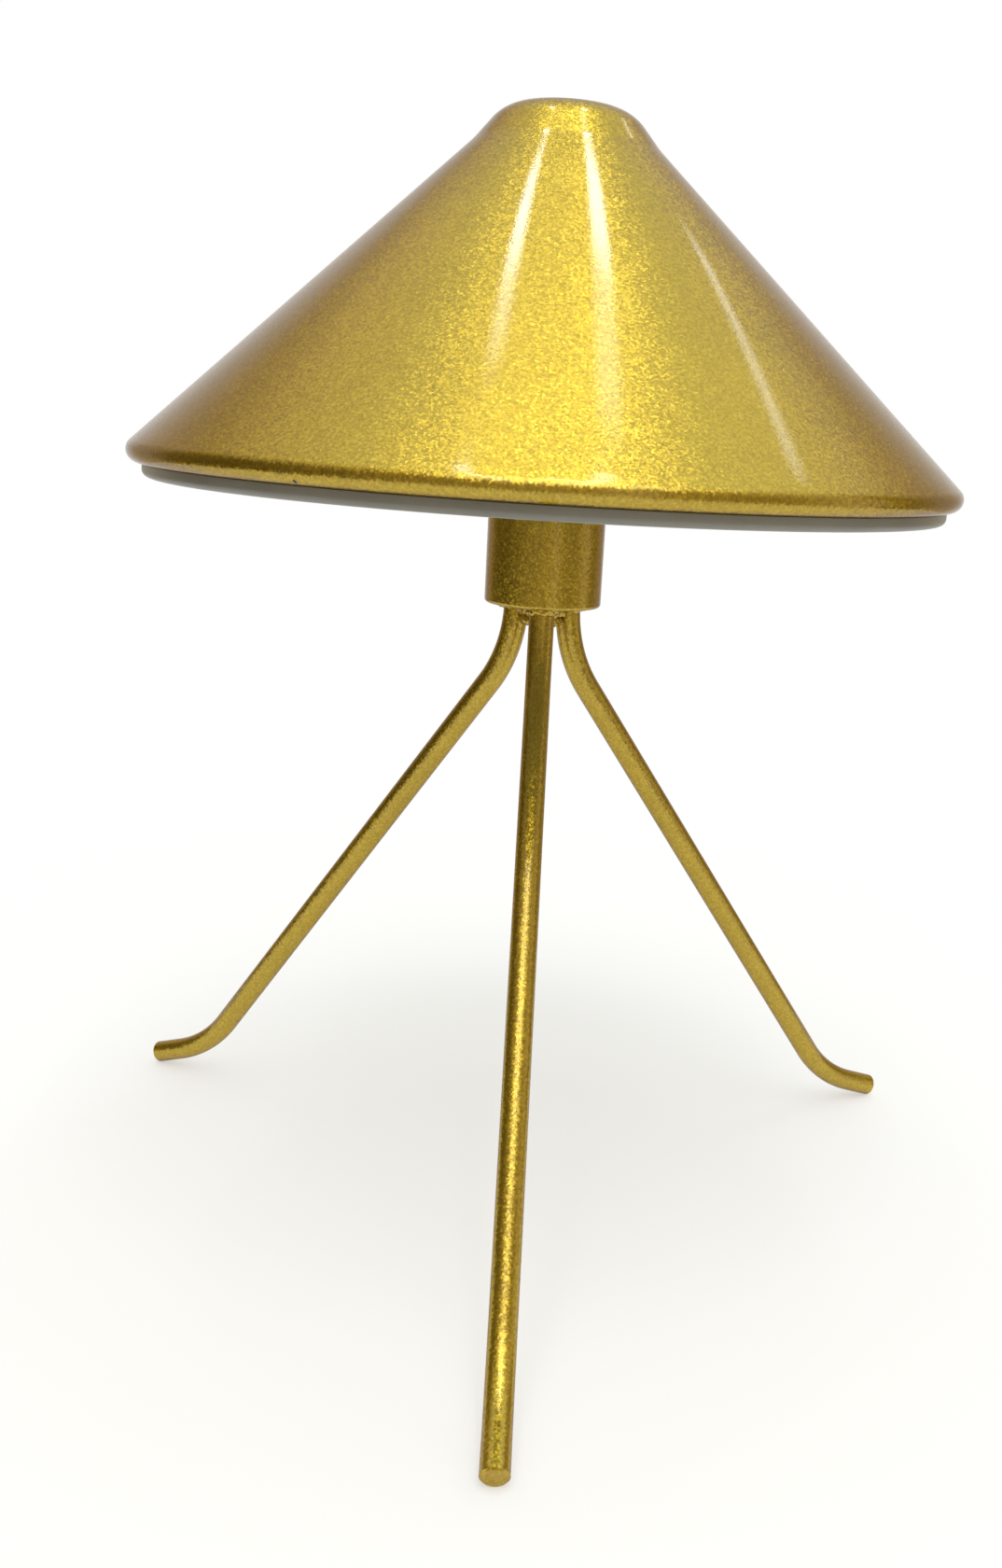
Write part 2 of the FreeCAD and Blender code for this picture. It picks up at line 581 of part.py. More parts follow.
def make_leg(label, angle):
    """One bent rod, drawn outwards along +X and then turned to its place."""
    body = new_body(label)
    route = new_sketch(body, label + "_route", "XZ_Plane")
    draw_path(
        route,
        (
            ("leg_circle_radius", "hub_height"),
            ("leg_circle_radius", "leg_bend_centre_z"),
            ("leg_straight_top_r", "leg_straight_top_z"),
            ("leg_straight_end_r", "leg_straight_end_z"),
            ("foot_start_r", "foot_start_z"),
            ("foot_end_r", "foot_end_z"),
        ),
        {1: ("leg_bend_radius", 1), 3: ("foot_bend_radius", 1)},
        closed=False,
    )
    section = new_sketch(body, label + "_section", "XY_Plane")
    section.setExpression(".AttachmentOffset.Base.z", "Sizes.hub_height")
    draw_circle(section, "rod_radius", "leg_circle_radius")
    DOCUMENT.recompute()
    pipe = body.newObject("PartDesign::AdditivePipe", label + "_rod")
    pipe.Profile = section
    pipe.Spine = (route, ["Edge%d" % number for number in range(1, 6)])
    body.Tip = pipe
    DOCUMENT.recompute()
    tip_edges = []
    for number, edge in enumerate(pipe.Shape.Edges, start=1):
        if edge.isClosed() and edge.CenterOfMass.x > size("foot_end_r") - 0.01:
            tip_edges.append("Edge%d" % number)
    chamfer = body.newObject("PartDesign::Chamfer", label + "_end")
    chamfer.Base = (pipe, tip_edges)
    bind(chamfer, Size="Sizes.foot_end_chamfer")
    body.Tip = chamfer
    body.Placement = round_axis(angle)
    return keep(body)


def make_welds(legs):
    """A bead round the top of each rod, under the hub."""
    beads = []
    for (label, angle), leg in zip(LEGS, legs):
        cone = DOCUMENT.addObject("Part::Cone", label + "_bead")
        bind(cone, Radius1="Sizes.weld_low_radius", Radius2="Sizes.weld_top_radius")
        bind(cone, Height="Sizes.weld_size")
        across = "Sizes.leg_circle_radius * %s(%d)"
        place(cone, across % ("cos", angle), across % ("sin", angle), "Sizes.weld_low_z")
        beads.append(combine("Cut", label + "_weld", cone, leg))
    return keep(group("leg_welds", beads))


# ------------------------------------------------------ hub and its tube


def make_hub_floor():
    """The round floor that closes the tube and carries the legs."""
    return keep(turned(
        "hub_floor",
        (
            (None, "hub_height"),
            ("floor_edge_r", "hub_height"),
            ("hub_radius", "floor_edge_z"),
            ("hub_radius", "tube_low"),
            ("spigot_radius", "tube_low"),
            ("spigot_radius", "floor_top"),
            (None, "floor_top"),
        ),
        {1: ("floor_round", 1)},
    ))


def make_hub_tube():
    """The upright tube, with its port, button, lead and screw holes."""
    body = turned(
        "hub_tube",
        (
            ("tube_bore", "tube_low"),
            ("hub_radius", "tube_low"),
            ("hub_radius", "tube_top"),
            ("tube_bore", "tube_top"),
        ),
    )
    DOCUMENT.recompute()
    reach = "Sizes.hub_radius + Sizes.cut_margin"
    cut_rearwards(
        body, "port_hole", lambda s: draw_slot(s, "port_hole_width", "port_hole_depth", "port_z"), reach)
    cut_rearwards(body, "button_hole", lambda s: draw_circle(s, "button_hole", None, "button_z"), reach)
    cut_rearwards(
        body, "lead_hole", lambda s: draw_circle(s, "grommet_hole_radius", None, "led_lead_z"), reach)
    hole = cut_rearwards(
        body, "plug_screw_hole", lambda s: draw_circle(s, "screw_hole", None, "plug_screw_z"), reach)
    repeat_round(body, hole, "plug_screw_holes")
    return keep(body)


# --------------------------------------------------- cell and its leads


def make_cell():
    """The cylindrical cell, with its nub and its shrunk sleeve."""
    body = turned(
        "battery_cell",
        (
            (None, "cell_low"),
            ("cell_radius", "cell_low"),
            ("cell_radius", "cell_shoulder"),
            ("cell_nub_radius", "cell_shoulder"),
            ("cell_nub_radius", "cell_top"),
            (None, "cell_top"),
        ),
    )
    place(body, y="Sizes.cell_y")
    return keep(body)


def make_pads():
    """A foam pad at each end of the cell, slotted for the cell's lead."""
    pads = []
    for end, low, edge in (
        ("low", "Sizes.floor_top", "Sizes.cell_lead_side - Sizes.pad_slot / 2"),
        ("high", "Sizes.cell_top", "-Sizes.pad_slot / 2"),
    ):
        disc = rod("pad_disc_" + end, "Sizes.pad_radius", "Sizes.pad_thickness", y="Sizes.cell_y", z=low)
        slot = block(
            "pad_slot_" + end,
            "Sizes.pad_slot", "Sizes.pad_radius * 2", "Sizes.pad_thickness",
            edge, "Sizes.cell_y - Sizes.pad_slot / 2", low)
        pads.append(combine("Cut", "pad_" + end, disc, slot))
    return keep(group("battery_pads", pads))


def lead(points, bend):
    """A round lead along straight runs joined by one tangent bend."""
    start, corner, end = points
    before = (start - corner).normalize()
    after = (end - corner).normalize()
    bend_in = corner + before * bend
    bend_out = corner + after * bend
    centre = corner + (before + after) * bend
    middle = centre - (before + after).normalize() * bend
    route = Part.Wire([
        Part.LineSegment(start, bend_in).toShape(),
        Part.Arc(bend_in, middle, bend_out).toShape(),
        Part.LineSegment(bend_out, end).toShape(),
    ])
    ring = Part.Wire([Part.Circle(start, before, size("lead_radius")).toShape()])
    tube = route.makePipeShell([ring], True, True)
    exact = math.pi * size("lead_radius") ** 2 * route.Length
    if abs(tube.Volume - exact) > 0.02 * exact:
        raise RuntimeError("a lead's volume is wrong")
    return tube


def make_cell_leads():
    """The two leads from the cell's ends to the back of the board."""
    middle = size("cell_y")
    rear = size("cell_lead_y")
    ends = (
        (size("cell_lead_side"), size("floor_top") + size("pad_thickness") / 2,
         size("board_low") + size("cell_lead_tail")),
        (0.0, size("cell_top") + size("pad_thickness") / 2,
         size("board_top") - size("cell_lead_tail")),
    )
    leads = []
    for side, height, tail in ends:
        points = (
            FreeCAD.Vector(side, middle, height),
            FreeCAD.Vector(side, rear, height),
            FreeCAD.Vector(side, rear, tail),
        )
        leads.append(lead(points, size("lead_bend")))
    return keep(shaped("battery_leads", Part.makeCompound(leads)))


# --------------------------------------------- control board and its parts


def make_board():
    """The upright control board behind the cell."""
    return keep(block(
        "control_board",
        "Sizes.board_width", "Sizes.board_thickness", "Sizes.board_length",
        "-Sizes.board_width / 2", "Sizes.board_front_y", "Sizes.board_low"))


def make_chips():
    """The soldered parts on the rear face of the control board."""
    chips = []
    for name, _ in CHIPS:
        chips.append(block(
            name,
            "Sizes.%s_wide" % name, "Sizes.%s_thick" % name, "Sizes.%s_high" % name,
            "Sizes.%s_side - Sizes.%s_wide / 2" % (name, name),
            "Sizes.board_rear_y",
            "Sizes.button_z + Sizes.%s_rise - Sizes.%s_high / 2" % (name, name)))
    return keep(group("control_chips", chips))


def make_rails():
    """A slotted rail at each edge of the board, fitted to the tube's bore."""
    bore = rod("rail_bore", "Sizes.tube_bore - Sizes.fit_gap", "Sizes.rail_length", z="Sizes.floor_top")
    slot = block(
        "rail_slot",
        "Sizes.board_width + 2 * Sizes.fit_gap",
        "Sizes.board_thickness + 2 * Sizes.fit_gap",
        "Sizes.rail_length",
        "-Sizes.board_width / 2 - Sizes.fit_gap",
        "Sizes.board_front_y - Sizes.fit_gap",
        "Sizes.board_low - Sizes.fit_gap")
    inner = "(Sizes.board_width / 2 - Sizes.rail_bite)"
    rails = []
    for side, low in (("right", inner), ("left", "-" + inner + " - Sizes.rail_width")):
        bar = block(
            "rail_bar_" + side,
            "Sizes.rail_width",
            "Sizes.board_thickness + 2 * Sizes.rail_cheek",
            "Sizes.rail_length",
            low, "Sizes.board_front_y - Sizes.rail_cheek", "Sizes.floor_top")
        fitted = combine("Common", "rail_fitted_" + side, bar, bore)
        rails.append(combine("Cut", "rail_" + side, fitted, slot))
    return keep(group("board_rails", rails))


def slot_body(label, width, depth, length):
    """A body with a slot-shaped section along its own Z axis."""
    body = new_body(label)
    sketch = new_sketch(body, label + "_section", "XY_Plane")
    draw_slot(sketch, width, depth)
    pad = body.newObject("PartDesign::Pad", label + "_pad")
    pad.Profile = sketch
    bind(pad, Length="Sizes." + length)
    body.Tip = pad
    DOCUMENT.recompute()
    return body


def hollow_slot(body, width, depth, length, low):
    """Cut a slot-shaped cavity into a slot body, from height low upwards."""
    sketch = new_sketch(body, body.Name + "_cavity_section", "XY_Plane")
    if low:
        sketch.setExpression(".AttachmentOffset.Base.z", low)
    draw_slot(sketch, width, depth)
    pocket = body.newObject("PartDesign::Pocket", body.Name + "_cavity")
    pocket.Profile = sketch
    pocket.Type = "Length"
    pocket.Reversed = True
    bind(pocket, Length=length)
    before = body.Shape.Volume
    body.Tip = pocket
    DOCUMENT.recompute()
    if not pocket.Shape.Volume < before:
        raise RuntimeError(body.Name + " stays solid")


def make_socket():
    """The charging socket: an open metal shell, its floor and its tongue."""
    shell = slot_body("socket_shell", "port_width", "port_depth", "port_length")
    hollow_slot(shell, "port_inner_width", "port_inner_depth", "Sizes.port_cavity", "Sizes.port_floor")
    tongue = block(
        "socket_tongue",
        "Sizes.port_tongue_width", "Sizes.port_tongue_depth",
        "Sizes.port_tongue_length + Sizes.port_floor / 2",
        "-Sizes.port_tongue_width / 2", "-Sizes.port_tongue_depth / 2", "Sizes.port_floor / 2")
    socket = combine("Fuse", "usb_c_socket", shell, tongue)
    place(socket, y="Sizes.board_rear_y", z="Sizes.port_z", rotation=ACROSS_Y)
    return keep(socket)


def make_port_bezel():
    """The moulded ring between the tube's wall and the socket."""
    bezel = slot_body("port_bezel", "bezel_width", "bezel_depth", "bezel_length")
    hollow_slot(bezel, "bezel_bore_width", "bezel_bore_depth", "Sizes.bezel_length", "")
    place(bezel, y="Sizes.bezel_rear_y", z="Sizes.port_z", rotation=ACROSS_Y)
    return keep(bezel)


# ------------------------------------------------------ switch and button


def make_switch():
    """The square push switch on the board, bored for its plunger."""
    case = block(
        "switch_block",
        "Sizes.switch_side", "Sizes.switch_case", "Sizes.switch_side",
        "-Sizes.switch_side / 2", "Sizes.board_rear_y", "Sizes.button_z - Sizes.switch_side / 2")
    bore = rod(
        "switch_bore",
        "Sizes.plunger_radius + Sizes.plunger_gap", "Sizes.plunger_bore",
        y="Sizes.switch_front_y - Sizes.plunger_bore", z="Sizes.button_z", rotation=ACROSS_Y)
    return keep(combine("Cut", "tact_switch", case, bore))


def make_plunger():
    """The switch's plunger, which the button presses in."""
    return keep(rod(
        "switch_plunger", "Sizes.plunger_radius", "Sizes.plunger_length",
        y="Sizes.plunger_y", z="Sizes.button_z", rotation=ACROSS_Y))


def make_button():
    """The push button: a cap with a flange that stops on the bezel."""
    cap = turned(
        "button_cap",
        (
            (None, None),
            ("button_flange_radius", None),
            ("button_flange_radius", "button_flange"),
            ("button_radius", "button_flange"),
            ("button_radius", "button_shoulder"),
            ("button_face_radius", "button_length"),
            (None, "button_length"),
        ),
        {4: ("button_round", 1)},
    )
    place(cap, y="Sizes.button_y", z="Sizes.button_z", rotation=ACROSS_Y)
    return keep(cap)


def make_button_bezel():
    """The ring in the tube's wall that guides the button."""
    bezel = turned(
        "button_bezel",
        (
            ("button_bore", None),
            ("button_bezel_radius", None),
            ("button_bezel_radius", "button_bezel_length"),
            ("button_bore", "button_bezel_length"),
        ),
    )
    place(bezel, y="Sizes.button_bezel_y", z="Sizes.button_z", rotation=ACROSS_Y)
    return keep(bezel)


# ------------------------------------------------------------ light unit


def make_led_leads():
    """Two leads from the board, out through the tube and up to the ring."""
    leads = []
    for side in (-1, 1):
        across = side * size("led_lead_half_pitch")
        height = size("led_lead_z")
        points = (
            FreeCAD.Vector(across, size("board_rear_y"), height),
            FreeCAD.Vector(across, size("led_lead_reach"), height),
            FreeCAD.Vector(across, size("led_lead_reach"), size("led_board_z")),
        )
        leads.append(lead(points, 2 * size("lead_bend")))
    return keep(shaped("led_leads", Part.makeCompound(leads)))


def make_grommet():
    """The rubber grommet that lines the leads' hole in the tube."""
    neck = size("grommet_flange")
    outer = neck + size("grommet_neck_length")
    total = outer + size("grommet_flange")
    flange = size("grommet_flange_radius")
    waist = size("grommet_neck_radius")
    bore = size("grommet_bore_radius")
    corners = (
        (bore, 0), (flange, 0), (flange, neck), (waist, neck), (waist, outer),
        (flange, outer), (flange, total), (bore, total), (bore, 0),
    )
    outline = Part.makePolygon([FreeCAD.Vector(radius, 0, along) for radius, along in corners])
    ring = Part.Face(outline).revolve(FreeCAD.Vector(), FreeCAD.Vector(0, 0, 1), 360)
    base = FreeCAD.Vector(0, size("grommet_y"), size("led_lead_z"))
    return keep(shaped("lead_grommet", ring, FreeCAD.Placement(base, ACROSS_Y)))


def make_carrier():
    """The aluminium carrier: a clamp collar, a plate and a turned-up lip."""
    body = turned(
        "led_carrier",
        (
            ("carrier_bore", "carrier_z"),
            ("carrier_radius", "carrier_z"),
            ("carrier_radius", "carrier_lip_top"),
            ("carrier_lip_inner", "carrier_lip_top"),
            ("carrier_lip_inner", "carrier_plate_top"),
            ("collar_radius", "carrier_plate_top"),
            ("collar_radius", "collar_top"),
            ("carrier_bore", "collar_top"),
        ),
    )
    DOCUMENT.recompute()
    hole = cut_rearwards(
        body, "collar_screw_hole", lambda s: draw_circle(s, "screw_hole", None, "collar_screw_z"),
        "Sizes.collar_radius + Sizes.cut_margin")
    repeat_round(body, hole, "collar_screw_holes")
    bore_down(body, "carrier_screw_hole", "Sizes.collar_top")
    return keep(body)


def bore_down(body, name, top):
    """Holes for the carrier screws, cut downwards from height top."""
    sketch = new_sketch(body, name + "_drawing", "XY_Plane")
    sketch.setExpression(".AttachmentOffset.Base.z", top)
    draw_circle(sketch, "screw_hole", "carrier_screw_circle")
    pocket = body.newObject("PartDesign::Pocket", name)
    pocket.Profile = sketch
    pocket.Type = "Length"
    bind(pocket, Length=top + " - Sizes.led_board_z + Sizes.cut_margin")
    before = body.Shape.Volume
    body.Tip = pocket
    DOCUMENT.recompute()
    if not pocket.Shape.Volume < before:
        raise RuntimeError(name + " cuts nothing")
    repeat_round(body, pocket, name + "s")


def make_led_board():
    """The ring board under the carrier plate."""
    body = new_body("led_ring_board")
    sketch = new_sketch(body, "led_ring_board_section", "XY_Plane")
    sketch.setExpression(".AttachmentOffset.Base.z", "Sizes.led_board_z")
    draw_circle(sketch, "led_board_outer")
    draw_circle(sketch, "led_board_inner")
    pad = body.newObject("PartDesign::Pad", "led_ring_board_pad")
    pad.Profile = sketch
    bind(pad, Length="Sizes.led_board")
    body.Tip = pad
    DOCUMENT.recompute()
    bore_down(body, "ring_board_screw_hole", "Sizes.carrier_z")
    return keep(body)


def make_led_chips():
    """The light chips, evenly round the ring board's underside."""
    count = int(size("led_count"))
    chips = []
    for number in range(count):
        chip = Part.makeBox(
            size("led_length"), size("led_width"), size("led_thickness"),
            FreeCAD.Vector(-size("led_length") / 2, -size("led_width") / 2, 0))
        chip.Placement = round_axis(360 * (number + 0.5) / count, size("led_circle"), size("led_z"))
        chips.append(chip)
    return keep(shaped("led_chips", Part.makeCompound(chips)))


def pan_screw(length):
    """A pan-head screw along +Z, its head's underside at zero."""
    shank = Part.makeCylinder(size("screw_radius"), length)
    drop = FreeCAD.Vector(0, 0, -size("screw_head"))
    head = Part.makeCylinder(size("screw_head_radius"), size("screw_head"), drop)
    return shank.fuse(head).removeSplitter()


def screw_angles():
    """Where the screws sit round the axis, the first one to the rear."""
    count = int(size("screw_count"))
    return [90 + 360 * number / count for number in range(count)]


def make_carrier_screws():
    """Screws up through the ring board into the carrier plate."""
    length = size("led_board") + size("carrier_plate") + size("carrier_screw_tail")
    screws = []
    for angle in screw_angles():
        screw = pan_screw(length)
        screw.Placement = round_axis(angle - 90, size("carrier_screw_circle"), size("led_board_z"))
        screws.append(screw)
    return keep(shaped("carrier_screws", Part.makeCompound(screws)))


def inward(angle, radius, height):
    """A place on the outside of a tube, with its Z axis pointing inwards."""
    ring = round_axis(angle, radius, height)
    return ring.multiply(FreeCAD.Placement(
        FreeCAD.Vector(), FreeCAD.Rotation(FreeCAD.Vector(0, 1, 0), -90)))


def make_collar_screws():
    """Headless screws through the collar that clamp on the tube."""
    length = size("collar_radius") - size("hub_radius")
    screws = []
    for angle in screw_angles():
        screw = Part.makeCylinder(size("screw_radius"), length)
        screw.Placement = inward(angle, size("collar_radius"), size("collar_screw_z"))
        screws.append(screw)
    return keep(shaped("collar_screws", Part.makeCompound(screws)))


# -------------------------------------------------------------- diffuser


def make_diffuser():
    """The opal dish: floor, rounded skirt, snap spigot and centre collar."""
    return keep(turned(
        "diffuser",
        (
            ("diffuser_bore", "diffuser_low"),
            ("diffuser_edge_r", "diffuser_low"),
            ("diffuser_radius", "diffuser_edge_z"),
            ("diffuser_radius", "diffuser_shoulder"),
            ("diffuser_spigot_outer", "diffuser_shoulder"),
            ("diffuser_spigot_outer", "snap_low"),
            ("snap_radius", "snap_mid"),
            ("diffuser_spigot_outer", "diffuser_top"),
            ("diffuser_spigot_inner", "diffuser_top"),
            ("diffuser_spigot_inner", "diffuser_floor_top"),
            ("diffuser_collar_radius", "diffuser_floor_top"),
            ("diffuser_collar_radius", "diffuser_collar_top"),
            ("diffuser_bore", "diffuser_collar_top"),
        ),
        {1: ("diffuser_round", 1)},
    ))


def make_seal():
    """The rubber ring between the diffuser's hole and the tube."""
    ring = DOCUMENT.addObject("Part::Torus", "tube_seal")
    bind(ring, Radius1="Sizes.seal_radius", Radius2="Sizes.seal_section")
    place(ring, z="Sizes.seal_z")
    return keep(ring)


# ---------------------------------------------------------- shade fixing


def make_top_plug():
    """The turned plug that closes the tube and takes the shade's stud."""
    body = turned(
        "tube_top_plug",
        (
            ("plug_bore", "plug_low"),
            ("spigot_radius", "plug_low"),
            ("spigot_radius", "tube_top"),
            ("hub_radius", "tube_top"),
            ("hub_radius", "plug_top"),
            ("plug_bore", "plug_top"),
        ),
    )
    DOCUMENT.recompute()
    hole = cut_rearwards(
        body, "plug_thread", lambda s: draw_circle(s, "screw_hole", None, "plug_screw_z"),
        "Sizes.hub_radius + Sizes.cut_margin")
    repeat_round(body, hole, "plug_threads")
    return keep(body)


def make_plug_screws():
    """Radial screws that hold the plug in the tube."""
    screws = []
    for angle in screw_angles():
        screw = pan_screw(size("plug_screw_length"))
        screw.Placement = inward(angle, size("hub_radius"), size("plug_screw_z"))
        screws.append(screw)
    return keep(shaped("plug_screws", Part.makeCompound(screws)))


def make_washer():
    """The spring washer between the plug and the nut."""
    return keep(turned(
        "spring_washer",
        (
            ("washer_bore", "plug_top"),
            ("washer_radius", "plug_top"),
            ("washer_radius", "washer_top"),
            ("washer_bore", "washer_top"),
        ),
    ))


def make_nut():
    """The nut that locks the shade's stud in the plug."""
    prism = DOCUMENT.addObject("Part::Prism", "nut_prism")
    prism.Polygon = 6
    bind(prism, Circumradius="Sizes.nut_across_flats / 2 / cos(30)", Height="Sizes.nut_height")
    place(prism, z="Sizes.washer_top")
    bore = rod("nut_bore", "Sizes.washer_bore", "Sizes.nut_height", z="Sizes.washer_top")
    return keep(combine("Cut", "lock_nut", prism, bore))


def make_stud():
    """The stud welded under the shade's crown."""
    return keep(turned(
        "shade_stud",
        (
            (None, "stud_low"),
            ("stud_radius", "stud_low"),
            ("stud_radius", "stud_flange_low"),
            ("stud_flange_radius", "stud_flange_low"),
            ("stud_flange_radius", "crown_inner_z"),
            (None, "crown_inner_z"),
        ),
    ))


def make_shade():
    """The spun sheet shade: flat crown, shoulder, neck, cone, rolled rim."""
    return keep(turned(
        "shade_shell",
        (
            (None, "shade_top"),
            ("crown_flat_radius", "shade_top"),
            ("shoulder_end_r", "shoulder_end_z"),
            ("neck_end_r", "neck_end_z"),
            ("cone_start_r", "cone_start_z"),
            ("cone_end_r", "cone_end_z"),
            ("rim_roll_r", "rim_bottom"),
            ("roll_end_r", "roll_end_z"),
            ("roll_end_inner_r", "roll_end_inner_z"),
            ("rim_roll_r", "roll_bottom_inner_z"),
            ("cone_end_inner_r", "cone_end_inner_z"),
            ("cone_start_inner_r", "cone_start_inner_z"),
            ("neck_end_inner_r", "neck_end_inner_z"),
            ("shoulder_end_inner_r", "shoulder_end_inner_z"),
            ("crown_flat_radius", "crown_inner_z"),
            (None, "crown_inner_z"),
        ),
        {
            1: ("crown_shoulder_radius", -1),
            3: ("neck_blend_radius", 1),
            5: ("rim_roll_radius", -1),
            6: ("rim_roll_radius", -1),
            8: ("roll_inner_radius", 1),
            9: ("roll_inner_radius", 1),
            11: ("neck_inner_radius", -1),
            13: ("crown_inner_radius", 1),
        },
    ))


# ------------------------------------------------------- check and export


def check_document():
    """Stop if any object failed or any sub-part isn't a sound solid."""
    DOCUMENT.recompute()
    for thing in DOCUMENT.Objects:
        if "Invalid" in thing.State or "Error" in thing.State:
            raise RuntimeError("%s: %s" % (thing.Label, thing.State))
    for node in NODES:
        shape = node.Shape
        if shape.isNull() or not shape.isValid() or not shape.Solids:
            raise RuntimeError(node.Label + " is not a sound solid")


def export_nodes():
    """Write each sub-part to a file of its own."""
    os.makedirs("parts", exist_ok=True)
    for node in NODES:
        node.Shape.exportStep(os.path.join("parts", node.Label + ".step"))
        print("%-18s %d solid(s) %10.1f mm3" % (node.Label, len(node.Shape.Solids), node.Shape.Volume))


fill_sheet()
make_welds([make_leg(label, angle) for label, angle in LEGS])
make_hub_floor()
make_hub_tube()
make_cell()
make_pads()
make_cell_leads()
make_board()
make_chips()
make_rails()
make_socket()
make_port_bezel()
make_switch()
make_plunger()
make_button()
make_button_bezel()
make_led_leads()
make_grommet()
make_carrier()
make_led_board()
make_led_chips()
make_carrier_screws()
make_collar_screws()
make_diffuser()
make_seal()
make_top_plug()
make_plug_screws()
make_washer()
make_nut()
make_stud()
make_shade()
check_document()
export_nodes()
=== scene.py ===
import bpy
import bmesh
import math
from mathutils import Matrix, Vector


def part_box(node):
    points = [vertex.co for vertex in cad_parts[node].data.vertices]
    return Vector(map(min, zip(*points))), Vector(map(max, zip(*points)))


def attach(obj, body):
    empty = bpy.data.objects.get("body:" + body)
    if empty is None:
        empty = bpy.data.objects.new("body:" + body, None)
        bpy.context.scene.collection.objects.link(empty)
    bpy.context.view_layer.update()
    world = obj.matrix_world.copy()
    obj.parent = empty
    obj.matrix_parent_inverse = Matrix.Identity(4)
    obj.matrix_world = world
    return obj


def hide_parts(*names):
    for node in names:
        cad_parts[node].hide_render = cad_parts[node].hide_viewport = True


# Tripod table lamp: a spun shade in gold flake enamel on a short painted hub
# with three bent rod legs.  Metres, +Z up, origin on the floor under the hub.

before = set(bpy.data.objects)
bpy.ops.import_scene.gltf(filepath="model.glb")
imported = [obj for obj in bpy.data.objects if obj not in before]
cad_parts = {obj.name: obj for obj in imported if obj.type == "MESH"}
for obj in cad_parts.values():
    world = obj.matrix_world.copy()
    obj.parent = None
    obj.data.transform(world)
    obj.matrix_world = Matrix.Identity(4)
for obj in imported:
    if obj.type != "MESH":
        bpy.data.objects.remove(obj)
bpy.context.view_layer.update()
MM = 0.001

# ------------------------------------------------------------ sizes, in mm
# The shade's outline, from its flat crown to its rolled rim.
CROWN_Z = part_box("shade_shell")[1].z / MM
RIM_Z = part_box("shade_shell")[0].z / MM
RIM_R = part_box("shade_shell")[1].x / MM
SHEET = 0.9
CROWN_FLAT = 9.0
SHOULDER_R = 11.0
NECK_ANGLE = math.radians(50.0)
NECK_RUN = 4.75
BLEND_R = 22.0
CONE_ANGLE = math.radians(43.37)
ROLL_R = 2.75
ROLL_END = 155.0  # degrees: where the rolled edge stops, on its inner side
CHIP_PLACE = (-46.45, -83.0, 180.0)
CHIP_R = 0.45

# The bent rods and the hub they are welded to.
ROD_R = 3.0
HUB_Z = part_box("hub_floor")[0].z / MM
LEG_CIRCLE = 7.3
LEG_TOP_DROP = 0.5
LEG_SPLAY = math.radians(36.95)
LEG_BEND = 34.0
FOOT_BEND = 38.0
FOOT_LENGTH = 9.0
FOOT_SLOPE = math.radians(20.0)
FOOT_CHAMFER = 0.4
FOOT_REACH = -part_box("leg_front")[0].y / MM
LEG_ANGLES = {"leg_front": -90.0, "leg_rear_right": 30.0, "leg_rear_left": 150.0}

# The weld beads: a ring of bead at each rod, and two wider ones between them.
WELD_RING_R = 3.2
WELD_BEAD_R = 1.2
WELD_LUMP = 1.8
WELD_LUMP_WIDTH = 1.6
WELD_LUMP_MIDDLE = 0.55
ROD_WELD_DROP = 0.55
CORE_WELDS = ((1.3, 1.4), (3.7, 1.2))  # drop below the hub, scale of the ring

# The opal dish under the shade.
DISH_R = 92.6
DISH_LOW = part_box("diffuser")[0].z / MM
DISH_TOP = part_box("diffuser")[1].z / MM
DISH_SHOULDER = RIM_Z - 0.1
DISH_ROUND = 1.5
DISH_FLOOR = 2.0
SPIGOT_OUTER = RIM_R - 2 * ROLL_R - 0.1
SPIGOT_WALL = 1.8
DISH_BORE = 15.2
COLLAR_WALL = 1.8
COLLAR_H = 4.8
BORE_BEVEL = 0.3
DISH_EDGE_R = 0.2
SNAP_BEAD = 0.7
SNAP_HALF = 0.5

# The studio, in metres.
FLOOR_R = 0.55
SHADOW_R = 0.1
WHITE_R = 0.45
LAMP_HEIGHT = 1.6

# ------------------------------------------------------------ node helper
def linear(code):
    """An sRGB hex code as a linear colour for a shader socket."""
    parts = [int(code[i:i + 2], 16) / 255 for i in (1, 3, 5)]
    return (*[p / 12.92 if p <= 0.04045 else ((p + 0.055) / 1.055) ** 2.4 for p in parts], 1.0)


def add(tree, kind, inputs=None, **settings):
    """One node with its settings; each input is linked to a socket or set."""
    made = tree.nodes.new(kind)
    for name, value in settings.items():
        setattr(made, name, value)
    for key, value in (inputs or {}).items():
        if isinstance(value, bpy.types.NodeSocket):
            tree.links.new(value, made.inputs[key])
        else:
            made.inputs[key].default_value = value
    return made


def per_mm(length):
    """The scale of a pattern whose features are length millimetres wide."""
    return 1.0 / (length * MM)


def ramp(tree, factor, stops):
    """A colour ramp over factor, with stops as (position, hex code)."""
    made = add(tree, "ShaderNodeValToRGB", {"Fac": factor})
    band = made.color_ramp
    while len(band.elements) < len(stops):
        band.elements.new(0.5)
    for element, (position, code) in zip(band.elements, stops):
        element.position = position
        element.color = linear(code)
    return made.outputs["Color"]


def material(name):
    """A new node material and its empty tree, with the output in place."""
    made = bpy.data.materials.new(name)
    made.use_nodes = True
    made.node_tree.nodes.clear()
    return made, made.node_tree


def finish_with(tree, shader):
    """Send a shader to the material's surface."""
    add(tree, "ShaderNodeOutputMaterial", {"Surface": shader.outputs[0]})


